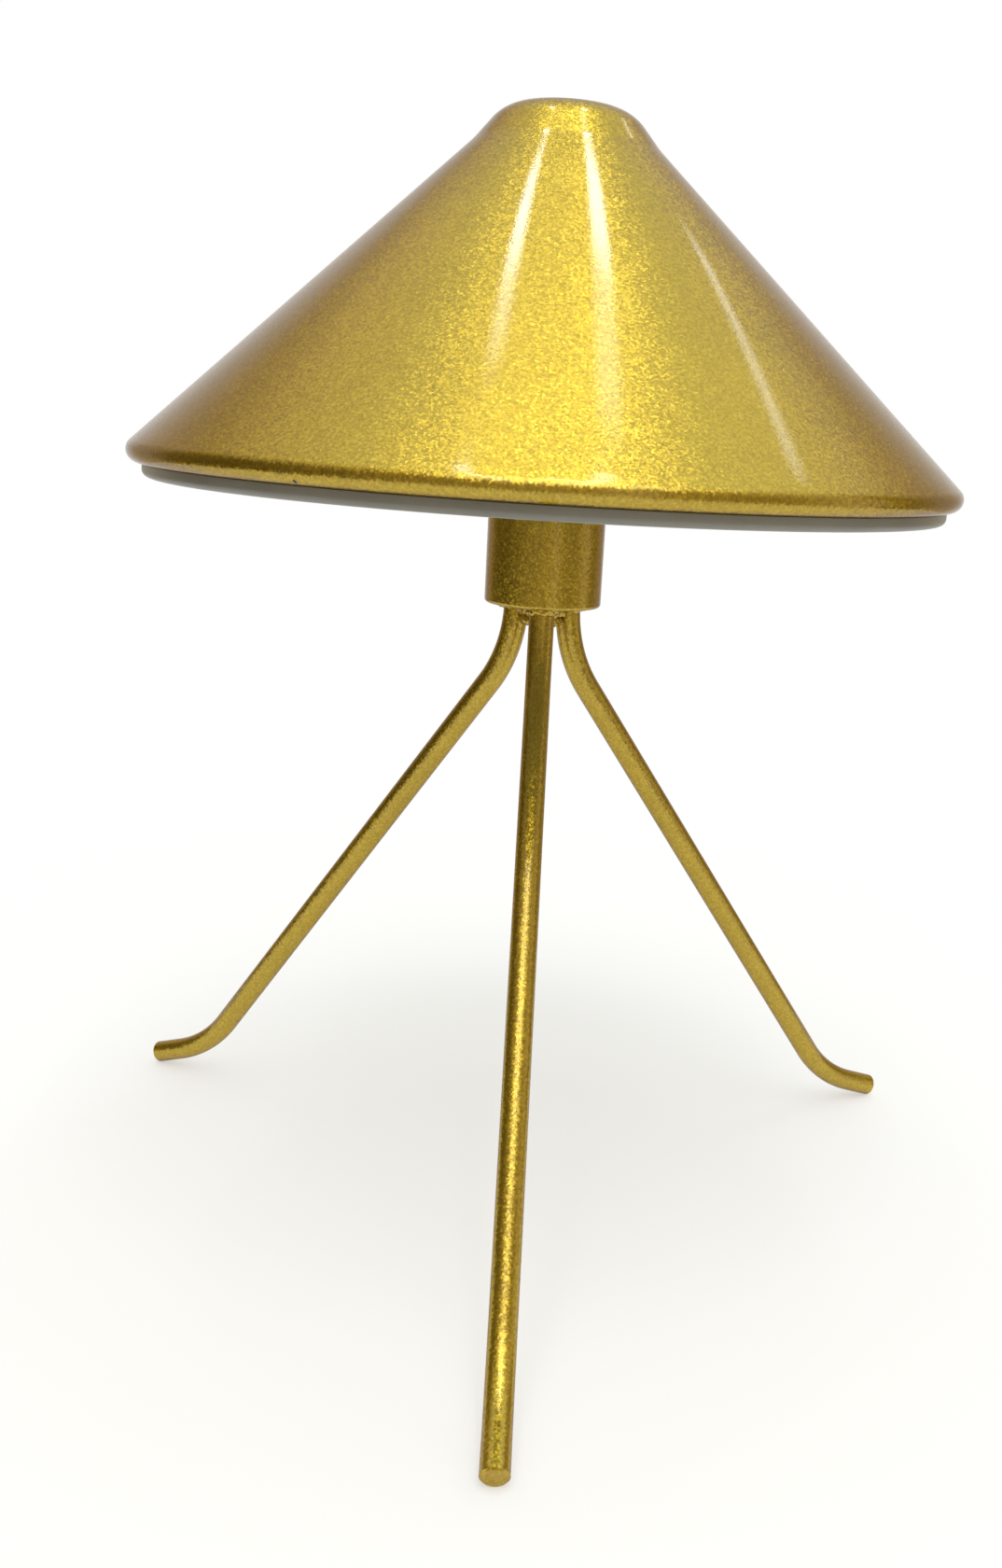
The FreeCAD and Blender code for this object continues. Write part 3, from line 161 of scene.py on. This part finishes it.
# --------------------------------------------------------------- materials
def gold_flake_enamel():
    """Spray enamel with metal flake under a clear coat: the flakes lie at
    all angles and glitter, the clear coat mirrors lamps raggedly."""
    made, tree = material("gold_flake_enamel")
    place = add(tree, "ShaderNodeTexCoord").outputs["Object"]
    # real flake is 0.1 mm: the patterns are as coarse as they need to show
    flakes = add(tree, "ShaderNodeTexVoronoi", {"Vector": place, "Scale": per_mm(0.4)})
    grain = add(tree, "ShaderNodeTexNoise", {
        "Vector": place, "Scale": per_mm(0.6), "Detail": 2.0, "Roughness": 0.6})
    drift = add(tree, "ShaderNodeTexNoise", {
        "Vector": place, "Scale": per_mm(22.0), "Detail": 3.0})
    body = ramp(tree, grain.outputs["Fac"], (
        (0.30, "#a69026"), (0.45, "#b19a2c"), (0.56, "#bca435"), (0.70, "#c9b147")))
    tint = add(tree, "ShaderNodeMapRange", {
        "Value": drift.outputs["Fac"], "From Min": 0.3, "From Max": 0.7,
        "To Min": 0.95, "To Max": 1.04})
    body = add(tree, "ShaderNodeVectorMath", {
        0: body, "Scale": tint.outputs["Result"]}, operation="SCALE")
    # a chip in the paint on the rolled rim, down to the primer
    chip = add(tree, "ShaderNodeVectorMath", {
        0: place, 1: tuple(part * MM for part in CHIP_PLACE)}, operation="DISTANCE")
    chipped = add(tree, "ShaderNodeMapRange", {
        "Value": chip.outputs["Value"],
        "From Min": CHIP_R * 0.7 * MM, "From Max": CHIP_R * 1.3 * MM,
        "To Min": 1.0, "To Max": 0.0})
    body = add(tree, "ShaderNodeMix", {
        "Factor": chipped.outputs["Result"], 6: body.outputs[0], 7: linear("#2a1c0c")},
        data_type="RGBA")
    # each flake tips its own way
    tip = add(tree, "ShaderNodeVectorMath", {
        0: flakes.outputs["Color"], 1: (0.5, 0.5, 0.5)}, operation="SUBTRACT")
    tip = add(tree, "ShaderNodeVectorMath", {0: tip.outputs[0], "Scale": 0.23}, operation="SCALE")
    outward = add(tree, "ShaderNodeNewGeometry").outputs["Normal"]
    tipped = add(tree, "ShaderNodeVectorMath", {
        0: outward, 1: tip.outputs[0]}, operation="ADD")
    tipped = add(tree, "ShaderNodeVectorMath", {0: tipped.outputs[0]}, operation="NORMALIZE")
    skin = add(tree, "ShaderNodeBump", {
        "Height": grain.outputs["Fac"], "Strength": 0.25, "Distance": 0.05 * MM})
    shader = add(tree, "ShaderNodeBsdfPrincipled", {
        "Base Color": body.outputs[2],
        "Metallic": 0.9,
        "Roughness": 0.3,
        "Specular Tint": linear("#846c40"),
        "Coat Weight": 0.6,
        "Coat IOR": 1.6,
        "Coat Roughness": 0.05,
        "Coat Tint": linear("#fff3d2"),
        "Normal": tipped.outputs[0],
        "Coat Normal": skin.outputs["Normal"],
    })
    finish_with(tree, shader)
    return made


def opal_acrylic_with_painted_shade():
    """Injection-moulded opal acrylic, unlit, with a satin gloss. Its white is drawn as an even dark
    grey: painted shade for the shadow it sits in under the shade.
    """
    made, tree = material("opal_acrylic_with_painted_shade")
    place = add(tree, "ShaderNodeTexCoord").outputs["Object"]
    cloud = add(tree, "ShaderNodeTexNoise", {
        "Vector": place, "Scale": per_mm(30.0), "Detail": 2.0})
    grain = add(tree, "ShaderNodeTexNoise", {
        "Vector": place, "Scale": per_mm(0.6), "Detail": 2.0})
    # painted shade: the white opal is drawn dark grey, as it looks in the shadow under the shade;
    # the cloud is a real random tone
    colour = ramp(tree, cloud.outputs["Fac"], ((0.35, "#7e7d77"), (0.65, "#8a8982")))
    relief = add(tree, "ShaderNodeBump", {
        "Height": grain.outputs["Fac"], "Strength": 0.2, "Distance": 0.02 * MM})
    shader = add(tree, "ShaderNodeBsdfPrincipled", {
        "Base Color": colour, "Roughness": 0.38, "IOR": 1.49,
        "Normal": relief.outputs["Normal"]})
    finish_with(tree, shader)
    return made


def plain_finish(name, dark, light, grain_mm, metallic=0.0, roughness=0.5, ior=1.5,
                 relief_mm=0.02):
    """A hidden part's finish: two close tones and a fine relief."""
    made, tree = material(name)
    place = add(tree, "ShaderNodeTexCoord").outputs["Object"]
    grain = add(tree, "ShaderNodeTexNoise", {
        "Vector": place, "Scale": per_mm(grain_mm), "Detail": 3.0})
    colour = ramp(tree, grain.outputs["Fac"], ((0.35, dark), (0.65, light)))
    relief = add(tree, "ShaderNodeBump", {
        "Height": grain.outputs["Fac"], "Strength": 0.4, "Distance": relief_mm * MM})
    shader = add(tree, "ShaderNodeBsdfPrincipled", {
        "Base Color": colour, "Metallic": metallic, "Roughness": roughness,
        "Normal": relief.outputs["Normal"]})
    if not metallic:
        shader.inputs["IOR"].default_value = ior
    finish_with(tree, shader)
    return made


GOLD = gold_flake_enamel()
SHADED_OPAL = opal_acrylic_with_painted_shade()
FINISHES = {
    "gold_paint": GOLD,
    "opal": SHADED_OPAL,
    # glass-filled nylon, spark-eroded mould: matt black with a fine grain
    "black_moulding": plain_finish(
        "moulded_black_nylon", "#17171a", "#222226", 0.35, roughness=0.55, ior=1.53),
    # silicone-touch ABS button: a little greyer and smoother than its bezel
    "button_moulding": plain_finish(
        "satin_grey_abs", "#2b2b2e", "#343438", 0.5, roughness=0.42, ior=1.53),
    # bright zinc-plated steel screws and stud
    "steel": plain_finish(
        "zinc_plated_steel", "#b4b6b8", "#cfd1d2", 0.8, metallic=1.0, roughness=0.3),
    # turned and pressed aluminium, satin
    "aluminium": plain_finish(
        "satin_aluminium", "#c3c6c9", "#d6d8da", 1.2, metallic=1.0, roughness=0.35),
    # heat-shrunk PVC sleeve of the cell
    "cell": plain_finish(
        "shrunk_pvc_sleeve", "#2c6f9e", "#3a7fae", 3.0, roughness=0.35, ior=1.54),
    # closed-cell polyethylene foam
    "foam": plain_finish(
        "black_pe_foam", "#1d1d1d", "#333333", 0.5, roughness=0.9, relief_mm=0.1),
    # black silicone rubber
    "rubber": plain_finish(
        "black_silicone", "#1b1b1c", "#262627", 1.0, roughness=0.6, ior=1.43),
    # silicone insulation of the leads
    "lead_sleeve": plain_finish(
        "red_silicone_sleeve", "#9c2f28", "#ab3a31", 1.0, roughness=0.5, ior=1.43),
    # glass-epoxy board under green solder resist
    "circuit_board": plain_finish(
        "green_solder_resist", "#1e5a36", "#276b42", 1.5, roughness=0.4, ior=1.52),
    # aluminium-core board under white solder resist
    "white_board": plain_finish(
        "white_solder_resist", "#dcdcd8", "#e8e8e4", 1.5, roughness=0.45, ior=1.52),
    # light chips: yellow phosphor under silicone
    "light_chip": plain_finish(
        "phosphor_silicone", "#e4cf62", "#efdc7a", 0.6, roughness=0.3, ior=1.41),
}


# ------------------------------------------------------------ mesh helpers
def arc(centre, radius, start, end, steps):
    """Points on an arc in the (radius, height) plane, angles in degrees."""
    points = []
    for number in range(steps + 1):
        angle = math.radians(start + (end - start) * number / steps)
        points.append((
            centre[0] + radius * math.cos(angle), centre[1] + radius * math.sin(angle)))
    return points


def without_doubles(points):
    """The outline with its repeated points left out."""
    kept = []
    for point in points:
        if not kept or math.dist(point, kept[-1]) > 1e-5:
            kept.append(point)
    if math.dist(kept[0], kept[-1]) < 1e-5:
        kept.pop()
    return kept


def turned(name, outline, steps, closed_on_axis):
    """A solid turned about Z from an outline of (radius, height) in mm."""
    outline = without_doubles(outline)
    shape = bmesh.new()
    rings = []
    for radius, height in outline:
        if radius < 1e-6:
            rings.append([shape.verts.new((0, 0, height * MM))] * steps)
            continue
        ring = []
        for step in range(steps):
            angle = 2 * math.pi * step / steps
            ring.append(shape.verts.new((
                radius * MM * math.cos(angle), radius * MM * math.sin(angle), height * MM)))
        rings.append(ring)
    count = len(rings) - 1 if closed_on_axis else len(rings)
    for number in range(count):
        first, last = rings[number], rings[(number + 1) % len(rings)]
        for step in range(steps):
            after = (step + 1) % steps
            corners = [first[step], first[after], last[after], last[step]]
            unique = [v for i, v in enumerate(corners) if v not in corners[:i]]
            if len(unique) > 2:
                shape.faces.new(unique)
    bmesh.ops.recalc_face_normals(shape, faces=shape.faces)
    mesh = bpy.data.meshes.new(name)
    shape.to_mesh(mesh)
    shape.free()
    return finished(name, mesh)


def finished(name, mesh, sharp=math.radians(35)):
    """An object at the origin for a mesh, smooth apart from sharp edges."""
    mesh.shade_smooth()
    mesh.set_sharp_from_angle(angle=sharp)
    piece = bpy.data.objects.new(name, mesh)
    bpy.context.scene.collection.objects.link(piece)
    return piece


def dress(piece, slot, *nodes, body="lamp"):
    """Paint a piece, hang it on its body and let it stand for CAD nodes."""
    piece.data.materials.clear()
    piece.data.materials.append(FINISHES[slot])
    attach(piece, body)
    if nodes:
        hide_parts(*nodes)


# ------------------------------------------------------------------- shade
def shade_outline():
    """The spun sheet's outline: outside from the crown down, then inside."""
    roll = (RIM_R - ROLL_R, RIM_Z + ROLL_R)
    shoulder = (CROWN_FLAT, CROWN_Z - SHOULDER_R)
    neck_turn = 90 - math.degrees(NECK_ANGLE)
    cone_turn = 90 - math.degrees(CONE_ANGLE)
    sine, cosine = math.sin(NECK_ANGLE), math.cos(NECK_ANGLE)
    shoulder_end = (shoulder[0] + SHOULDER_R * sine, shoulder[1] + SHOULDER_R * cosine)
    neck_end = (shoulder_end[0] + NECK_RUN * cosine, shoulder_end[1] - NECK_RUN * sine)
    hollow = (neck_end[0] + BLEND_R * sine, neck_end[1] + BLEND_R * cosine)
    outside = [(0.0, CROWN_Z), (CROWN_FLAT * 0.5, CROWN_Z)]
    outside += arc(shoulder, SHOULDER_R, 90, neck_turn, 16)
    outside += arc(hollow, BLEND_R, 180 + neck_turn, 180 + cone_turn, 6)
    cone_top = outside[-1]
    cone_low = (
        roll[0] + ROLL_R * math.sin(CONE_ANGLE), roll[1] + ROLL_R * math.cos(CONE_ANGLE))
    cone_steps = 40
    for number in range(1, cone_steps):
        share = number / cone_steps
        outside.append(tuple(a + (b - a) * share for a, b in zip(cone_top, cone_low)))
    outside += arc(roll, ROLL_R, cone_turn, ROLL_END - 360, 30)
    inside = arc(roll, ROLL_R - SHEET, ROLL_END - 360, cone_turn, 20)
    inside += arc(hollow, BLEND_R + SHEET, 180 + cone_turn, 180 + neck_turn, 4)
    inside += arc(shoulder, SHOULDER_R - SHEET, neck_turn, 90, 8)
    inside.append((0.0, CROWN_Z - SHEET))
    return outside + inside


def make_shade():
    """The shade, turned finely enough for a round rim."""
    return turned("shade", shade_outline(), 288, True)


# -------------------------------------------------------------------- legs
def interface(tree, *sizes):
    """Named number inputs of a geometry tree and its one output."""
    for name in sizes:
        tree.interface.new_socket(name, in_out="INPUT", socket_type="NodeSocketFloat")
    tree.interface.new_socket("Geometry", in_out="OUTPUT", socket_type="NodeSocketGeometry")


def rod_tree():
    """A bent rod: a bent centreline with rounded corners, swept round."""
    tree = bpy.data.node_groups.new("bent_rod", "GeometryNodeTree")
    tree.interface.new_socket("Geometry", in_out="INPUT", socket_type="NodeSocketGeometry")
    interface(tree, "Rod radius", "Turn")
    given = add(tree, "NodeGroupInput")
    curve = add(tree, "GeometryNodeMeshToCurve", {"Mesh": given.outputs["Geometry"]})
    bend = add(tree, "GeometryNodeInputNamedAttribute", {
        "Name": "bend_radius"}, data_type="FLOAT")
    rounded = add(tree, "GeometryNodeFilletCurve", {
        "Curve": curve.outputs[0], "Radius": bend.outputs["Attribute"], "Count": 24}, mode="POLY")
    section = add(tree, "GeometryNodeCurvePrimitiveCircle", {
        "Resolution": 40, "Radius": given.outputs["Rod radius"]})
    end = add(tree, "GeometryNodeInputNamedAttribute", {
        "Name": "end_scale"}, data_type="FLOAT")
    swept = add(tree, "GeometryNodeCurveToMesh", {
        "Curve": rounded.outputs["Curve"], "Profile Curve": section.outputs["Curve"],
        "Scale": end.outputs["Attribute"], "Fill Caps": True})
    aim = add(tree, "ShaderNodeCombineXYZ", {"Z": given.outputs["Turn"]})
    turned_round = add(tree, "GeometryNodeTransform", {
        "Geometry": swept.outputs["Mesh"], "Rotation": aim.outputs["Vector"]})
    whole = add(tree, "GeometryNodeRealizeInstances", {"Geometry": turned_round.outputs["Geometry"]})
    painted = add(tree, "GeometryNodeSetMaterial", {
        "Geometry": whole.outputs["Geometry"], "Material": GOLD})
    add(tree, "NodeGroupOutput", {"Geometry": painted.outputs["Geometry"]})
    return tree


def evaluated_piece(name, source, tree, sizes):
    """The plain mesh that a geometry tree makes from a source mesh."""
    holder = bpy.data.objects.new(name + "_source", source)
    bpy.context.scene.collection.objects.link(holder)
    modifier = holder.modifiers.new("shape", "NODES")
    modifier.node_group = tree
    for socket in tree.interface.items_tree:
        if socket.in_out == "INPUT" and socket.name in sizes:
            modifier[socket.identifier] = sizes[socket.name]
    bpy.context.view_layer.update()
    graph = bpy.context.evaluated_depsgraph_get()
    mesh = bpy.data.meshes.new_from_object(holder.evaluated_get(graph))
    mesh.name = name
    bpy.data.objects.remove(holder)
    shape = bmesh.new()
    shape.from_mesh(mesh)
    bmesh.ops.remove_doubles(shape, verts=shape.verts, dist=1e-7)
    bmesh.ops.recalc_face_normals(shape, faces=shape.faces)
    shape.to_mesh(mesh)
    shape.free()
    return finished(name, mesh)


def rod_centreline():
    """Corner points of a leg's centreline in the XZ plane, with the bend at
    each and the scale of the section there."""
    along = (math.cos(FOOT_SLOPE), -math.sin(FOOT_SLOPE))
    end = (
        FOOT_REACH + (ROD_R - FOOT_CHAMFER) * along[1],
        ROD_R * along[0] + FOOT_CHAMFER * along[1])
    upper = HUB_Z - LEG_TOP_DROP - LEG_BEND * math.tan(LEG_SPLAY / 2)
    lower_run = FOOT_LENGTH + FOOT_BEND * math.tan((math.pi / 2 - FOOT_SLOPE - LEG_SPLAY) / 2)

    def before_end(run):
        return end[0] - run * along[0], end[1] - run * along[1]

    points = (
        (LEG_CIRCLE, HUB_Z, 0.0, 1.0),
        (LEG_CIRCLE, upper, LEG_BEND, 1.0),
        (*before_end(lower_run), FOOT_BEND, 1.0),
        (*before_end(FOOT_CHAMFER), 0.0, 1.0),
        (*end, 0.0, 1.0 - FOOT_CHAMFER / ROD_R),
    )
    mesh = bpy.data.meshes.new("leg_centreline")
    places = [(r * MM, 0.0, z * MM) for r, z, _, _ in points]
    mesh.from_pydata(places, [(i, i + 1) for i in range(len(points) - 1)], [])
    bends = mesh.attributes.new("bend_radius", "FLOAT", "POINT")
    scales = mesh.attributes.new("end_scale", "FLOAT", "POINT")
    for number, (_, _, bend, scale) in enumerate(points):
        bends.data[number].value = bend * MM
        scales.data[number].value = scale
    return mesh


def make_legs():
    """Three bent rods from one tree, each turned to its own place."""
    tree = rod_tree()
    legs = {}
    for name, angle in LEG_ANGLES.items():
        sizes = {"Rod radius": ROD_R * MM, "Turn": math.radians(angle)}
        piece = name.replace("leg", "rod")
        legs[name] = evaluated_piece(piece, rod_centreline(), tree, sizes)
    return legs


# ------------------------------------------------------------------- welds
def weld_tree():
    """A lumpy ring of weld, set at each of the given points."""
    tree = bpy.data.node_groups.new("weld_beads", "GeometryNodeTree")
    tree.interface.new_socket("Geometry", in_out="INPUT", socket_type="NodeSocketGeometry")
    interface(tree, "Ring radius", "Bead radius", "Lump height", "Lump width")
    given = add(tree, "NodeGroupInput")
    ring = add(tree, "GeometryNodeCurvePrimitiveCircle", {
        "Resolution": 120, "Radius": given.outputs["Ring radius"]})
    bead = add(tree, "GeometryNodeCurvePrimitiveCircle", {
        "Resolution": 28, "Radius": given.outputs["Bead radius"]})
    torus = add(tree, "GeometryNodeCurveToMesh", {
        "Curve": ring.outputs["Curve"], "Profile Curve": bead.outputs["Curve"]})
    size = add(tree, "GeometryNodeInputNamedAttribute", {
        "Name": "bead_scale"}, data_type="FLOAT")
    spots = add(tree, "GeometryNodeInstanceOnPoints", {
        "Points": given.outputs["Geometry"], "Instance": torus.outputs["Mesh"],
        "Scale": size.outputs["Attribute"]})
    whole = add(tree, "GeometryNodeRealizeInstances", {"Geometry": spots.outputs["Instances"]})
    width = add(tree, "ShaderNodeMath", {
        0: 1.0, 1: given.outputs["Lump width"]}, operation="DIVIDE")
    lumps = add(tree, "ShaderNodeTexNoise", {"Scale": width.outputs[0], "Detail": 2.0})
    height = add(tree, "ShaderNodeMath", {
        0: lumps.outputs["Fac"], 1: WELD_LUMP_MIDDLE}, operation="SUBTRACT")
    height = add(tree, "ShaderNodeMath", {
        0: height.outputs[0], 1: given.outputs["Lump height"]}, operation="MULTIPLY")
    outward = add(tree, "GeometryNodeInputNormal")
    shift = add(tree, "ShaderNodeVectorMath", {
        0: outward.outputs[0], "Scale": height.outputs[0]}, operation="SCALE")
    lumpy = add(tree, "GeometryNodeSetPosition", {
        "Geometry": whole.outputs["Geometry"], "Offset": shift.outputs[0]})
    painted = add(tree, "GeometryNodeSetMaterial", {
        "Geometry": lumpy.outputs["Geometry"], "Material": GOLD})
    add(tree, "NodeGroupOutput", {"Geometry": painted.outputs["Geometry"]})
    return tree


def make_welds():
    """The weld under the hub: round each rod, and between the three rods."""
    places = []
    scales = []
    for angle in LEG_ANGLES.values():
        turn = math.radians(angle)
        places.append((
            LEG_CIRCLE * MM * math.cos(turn), LEG_CIRCLE * MM * math.sin(turn),
            (HUB_Z - ROD_WELD_DROP) * MM))
        scales.append(1.0)
    for drop, scale in CORE_WELDS:
        places.append((0.0, 0.0, (HUB_Z - drop) * MM))
        scales.append(scale)
    spots = bpy.data.meshes.new("weld_places")
    spots.from_pydata(places, [], [])
    bead_scale = spots.attributes.new("bead_scale", "FLOAT", "POINT")
    for number, scale in enumerate(scales):
        bead_scale.data[number].value = scale
    sizes = {
        "Ring radius": WELD_RING_R * MM, "Bead radius": WELD_BEAD_R * MM,
        "Lump height": WELD_LUMP * MM, "Lump width": WELD_LUMP_WIDTH * MM}
    return evaluated_piece("weld_beads", spots, weld_tree(), sizes)


# ---------------------------------------------------------------- diffuser
def dish_outline():
    """The opal dish: floor, rounded skirt, spigot, snap bead and collar."""
    collar_r = DISH_BORE + COLLAR_WALL
    spigot_inner = SPIGOT_OUTER - SPIGOT_WALL
    low_corner = (DISH_R - DISH_ROUND, DISH_LOW + DISH_ROUND)
    floor_start = DISH_BORE + BORE_BEVEL
    points = [(DISH_BORE, DISH_LOW + BORE_BEVEL), (floor_start, DISH_LOW)]
    floor_steps = 12
    for number in range(1, floor_steps):
        reach = (low_corner[0] - DISH_BORE - BORE_BEVEL) * number / floor_steps
        points.append((floor_start + reach, DISH_LOW))
    points += arc(low_corner, DISH_ROUND, -90, 0, 10)
    points += arc((DISH_R - DISH_EDGE_R, DISH_SHOULDER - DISH_EDGE_R), DISH_EDGE_R, 0, 90, 4)
    points += [
        (SPIGOT_OUTER, DISH_SHOULDER),
        (SPIGOT_OUTER, DISH_TOP - 2 * SNAP_HALF),
        (SPIGOT_OUTER + SNAP_BEAD, DISH_TOP - SNAP_HALF),
        (SPIGOT_OUTER, DISH_TOP),
        (spigot_inner, DISH_TOP),
        (spigot_inner, DISH_LOW + DISH_FLOOR),
        (collar_r, DISH_LOW + DISH_FLOOR),
        (collar_r, DISH_LOW + COLLAR_H),
        (DISH_BORE, DISH_LOW + COLLAR_H)]
    return points


def make_dish():
    """The diffuser that closes the shade from below."""
    return turned("opal_dish", dish_outline(), 256, False)


# ---------------------------------------------------------------- dressing
dress(make_shade(), "gold_paint", "shade_shell")
for name, leg in make_legs().items():
    dress(leg, "gold_paint", name)
dress(make_welds(), "gold_paint", "leg_welds")
dress(make_dish(), "opal", "diffuser")

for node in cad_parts.values():
    for holder in node.material_slots:
        holder.material = FINISHES[holder.material.name.split(".")[0]]


# ------------------------------------------------- floor, light and camera
def room_tone(tree, direction):
    """How bright the studio's wall is in a direction, by its bearing: white
    behind the lamp (0 and 1), two narrow pale panels, and dimmer between.
    0.25 is to the left, 0.5 in front and 0.75 to the right."""
    axes = add(tree, "ShaderNodeSeparateXYZ", {"Vector": direction})
    ahead = add(tree, "ShaderNodeMath", {0: axes.outputs["Y"], 1: -1.0}, operation="MULTIPLY")
    bearing = add(tree, "ShaderNodeMath", {
        0: axes.outputs["X"], 1: ahead.outputs[0]}, operation="ARCTAN2")
    share = add(tree, "ShaderNodeMapRange", {
        "Value": bearing.outputs[0], "From Min": -math.pi, "From Max": math.pi})
    return ramp(tree, share.outputs["Result"], (
        (0.0, "#ffffff"), (0.065, "#ffffff"), (0.105, "#d8c9b0"), (0.14, "#cdbda2"),
        (0.18, "#685c4c"), (0.25, "#4c4135"), (0.34, "#766856"), (0.44, "#ac9e88"),
        (0.53, "#ae9f89"), (0.548, "#ecddca"), (0.566, "#ecddca"), (0.59, "#a69882"),
        (0.68, "#948671"), (0.738, "#e6d8c4"), (0.762, "#e6d8c4"), (0.79, "#7a6c5a"),
        (0.82, "#8a7c68"), (0.86, "#cdbda2"), (0.9, "#d8c9b0"), (0.94, "#ffffff")))


def make_floor():
    """A plain pale floor, cut round half a metre out, that keeps the lamp's
    shadow and turns plain white away from it."""
    shape = bmesh.new()
    bmesh.ops.create_circle(shape, cap_ends=True, segments=128, radius=FLOOR_R)
    mesh = bpy.data.meshes.new("floor")
    shape.to_mesh(mesh)
    shape.free()
    floor = bpy.data.objects.new("floor", mesh)
    bpy.context.scene.collection.objects.link(floor)
    made, tree = material("pale_studio_floor")
    place = add(tree, "ShaderNodeTexCoord").outputs["Object"]
    distance = add(tree, "ShaderNodeVectorMath", {0: place}, operation="LENGTH")
    far = add(tree, "ShaderNodeMapRange", {
        "Value": distance.outputs["Value"], "From Min": SHADOW_R, "From Max": WHITE_R,
        "To Min": 0.5}, interpolation_type="SMOOTHSTEP")
    path = add(tree, "ShaderNodeLightPath")
    seen = add(tree, "ShaderNodeMath", {
        0: path.outputs["Is Camera Ray"], 1: path.outputs["Is Glossy Ray"]}, operation="MAXIMUM")
    seen = add(tree, "ShaderNodeMath", {
        0: seen.outputs[0], 1: path.outputs["Is Transmission Ray"]}, operation="MAXIMUM")
    fade = add(tree, "ShaderNodeMath", {
        0: seen.outputs[0], 1: far.outputs["Result"]}, operation="MULTIPLY")
    matt = add(tree, "ShaderNodeBsdfDiffuse", {"Color": linear("#f4f4f4")})
    white = add(tree, "ShaderNodeEmission", {
        "Color": linear("#ffffff"), "Strength": 1.0})
    blend = add(tree, "ShaderNodeMixShader", {
        0: fade.outputs[0], 1: matt.outputs[0], 2: white.outputs[0]})
    finish_with(tree, blend)
    floor.data.materials.append(made)


def make_world():
    """The studio wall low down, a soft pale ceiling and a bright panel in
    front of the lamp, the same for every ray."""
    world = bpy.data.worlds.new("studio")
    bpy.context.scene.world = world
    world.use_nodes = True
    tree = world.node_tree
    tree.nodes.clear()
    place = add(tree, "ShaderNodeTexCoord").outputs["Generated"]
    axes = add(tree, "ShaderNodeSeparateXYZ", {"Vector": place})
    above_wall = add(tree, "ShaderNodeMapRange", {
        "Value": axes.outputs["Z"], "From Min": 0.42, "From Max": 0.66},
        interpolation_type="SMOOTHSTEP")
    overhead = add(tree, "ShaderNodeVectorMath", {
        0: place, 1: (0.1, 0.25, 0.963)}, operation="DOT_PRODUCT")
    share = add(tree, "ShaderNodeMapRange", {
        "Value": overhead.outputs["Value"], "From Min": 0.54, "From Max": 0.95},
        interpolation_type="SMOOTHSTEP")
    ceiling = ramp(tree, share.outputs["Result"], (
        (0.0, "#aea38c"), (0.5, "#ebe4d0"), (1.0, "#f0fbf8")))
    ceiling = add(tree, "ShaderNodeVectorMath", {
        0: ceiling, "Scale": 1.17}, operation="SCALE")
    in_front = add(tree, "ShaderNodeVectorMath", {
        0: place, 1: (0.03, -0.54, 0.84)}, operation="DOT_PRODUCT")
    panel = add(tree, "ShaderNodeMapRange", {
        "Value": in_front.outputs["Value"], "From Min": 0.86, "From Max": 0.965,
        "To Max": 1.9}, interpolation_type="SMOOTHSTEP")
    ceiling = add(tree, "ShaderNodeVectorMath", {
        0: ceiling.outputs[0], 1: panel.outputs["Result"]}, operation="ADD")
    tone = add(tree, "ShaderNodeMix", {
        "Factor": above_wall.outputs["Result"], 6: room_tone(tree, place),
        7: ceiling.outputs[0]}, data_type="RGBA")
    sky = add(tree, "ShaderNodeBackground", {"Color": tone.outputs[2], "Strength": 1.0})
    add(tree, "ShaderNodeOutputWorld", {"Surface": sky.outputs[0]})


def area_light(name, place, size, radiance, turn=0.0):
    """A rectangular lamp over a place, facing down, unseen itself."""
    lamp = bpy.data.lights.new(name, "AREA")
    lamp.shape = "RECTANGLE"
    lamp.size, lamp.size_y = size
    lamp.energy = radiance * math.pi * size[0] * size[1]
    holder = bpy.data.objects.new(name, lamp)
    bpy.context.scene.collection.objects.link(holder)
    holder.visible_camera = False
    holder.location = (*place, LAMP_HEIGHT)
    down = Vector((0, 0, -1)).to_track_quat("-Z", "Y").to_matrix()
    holder.rotation_euler = (down @ Matrix.Rotation(turn, 3, "Z")).to_euler()


def make_lights():
    """Tube lamps overhead that streak the shade and the front rod."""
    area_light("tube_left", (-0.262, 0.265), (0.07, 0.13), 15.0)
    area_light("tube_left_end", (-0.262, 0.15), (0.07, 0.10), 5.0)
    area_light("tube_right", (0.225, 0.265), (0.10, 0.13), 15.0)
    area_light("tube_right_end", (0.225, 0.11), (0.10, 0.18), 3.5)
    area_light("tube_far_right", (0.94, 0.75), (0.08, 0.48), 3.6, turn=math.radians(22))
    area_light("spot_front", (0.06, -0.33), (0.14, 0.2), 9.0)
    area_light("tube_front_left", (-0.33, -0.72), (0.06, 1.4), 8.0)
    area_light("tube_front_right", (0.21, -0.76), (0.08, 1.4), 8.0)


def make_camera():
    """The camera, found by fitting the lamp's outline in the photograph."""
    distance, height = 371.603, 194.495
    yaw, pitch, roll = -0.0430, -0.2319, -0.0645
    focal_px, centre_x = 1650.23, 640.0
    long_side, middle_x = 1680.0, 537.0
    turn = (
        Matrix.Rotation(yaw, 3, "Z") @ Matrix.Rotation(pitch, 3, "X")
        @ Matrix.Rotation(roll, 3, "Y"))
    right, forward, up = turn.col[0], turn.col[1], turn.col[2]
    axes = Matrix((right, up, -forward)).transposed().to_4x4()
    data = bpy.data.cameras.new("camera")
    data.sensor_width = 36.0
    data.lens = focal_px * data.sensor_width / long_side
    data.shift_x = -(centre_x - middle_x) / long_side
    data.clip_start = 0.01
    camera = bpy.data.objects.new("camera", data)
    bpy.context.scene.collection.objects.link(camera)
    camera.matrix_world = Matrix.Translation((0, -distance * MM, height * MM)) @ axes
    bpy.context.scene.camera = camera


make_floor()
make_world()
make_lights()
make_camera()
bpy.context.scene.view_settings.view_transform = "Standard"
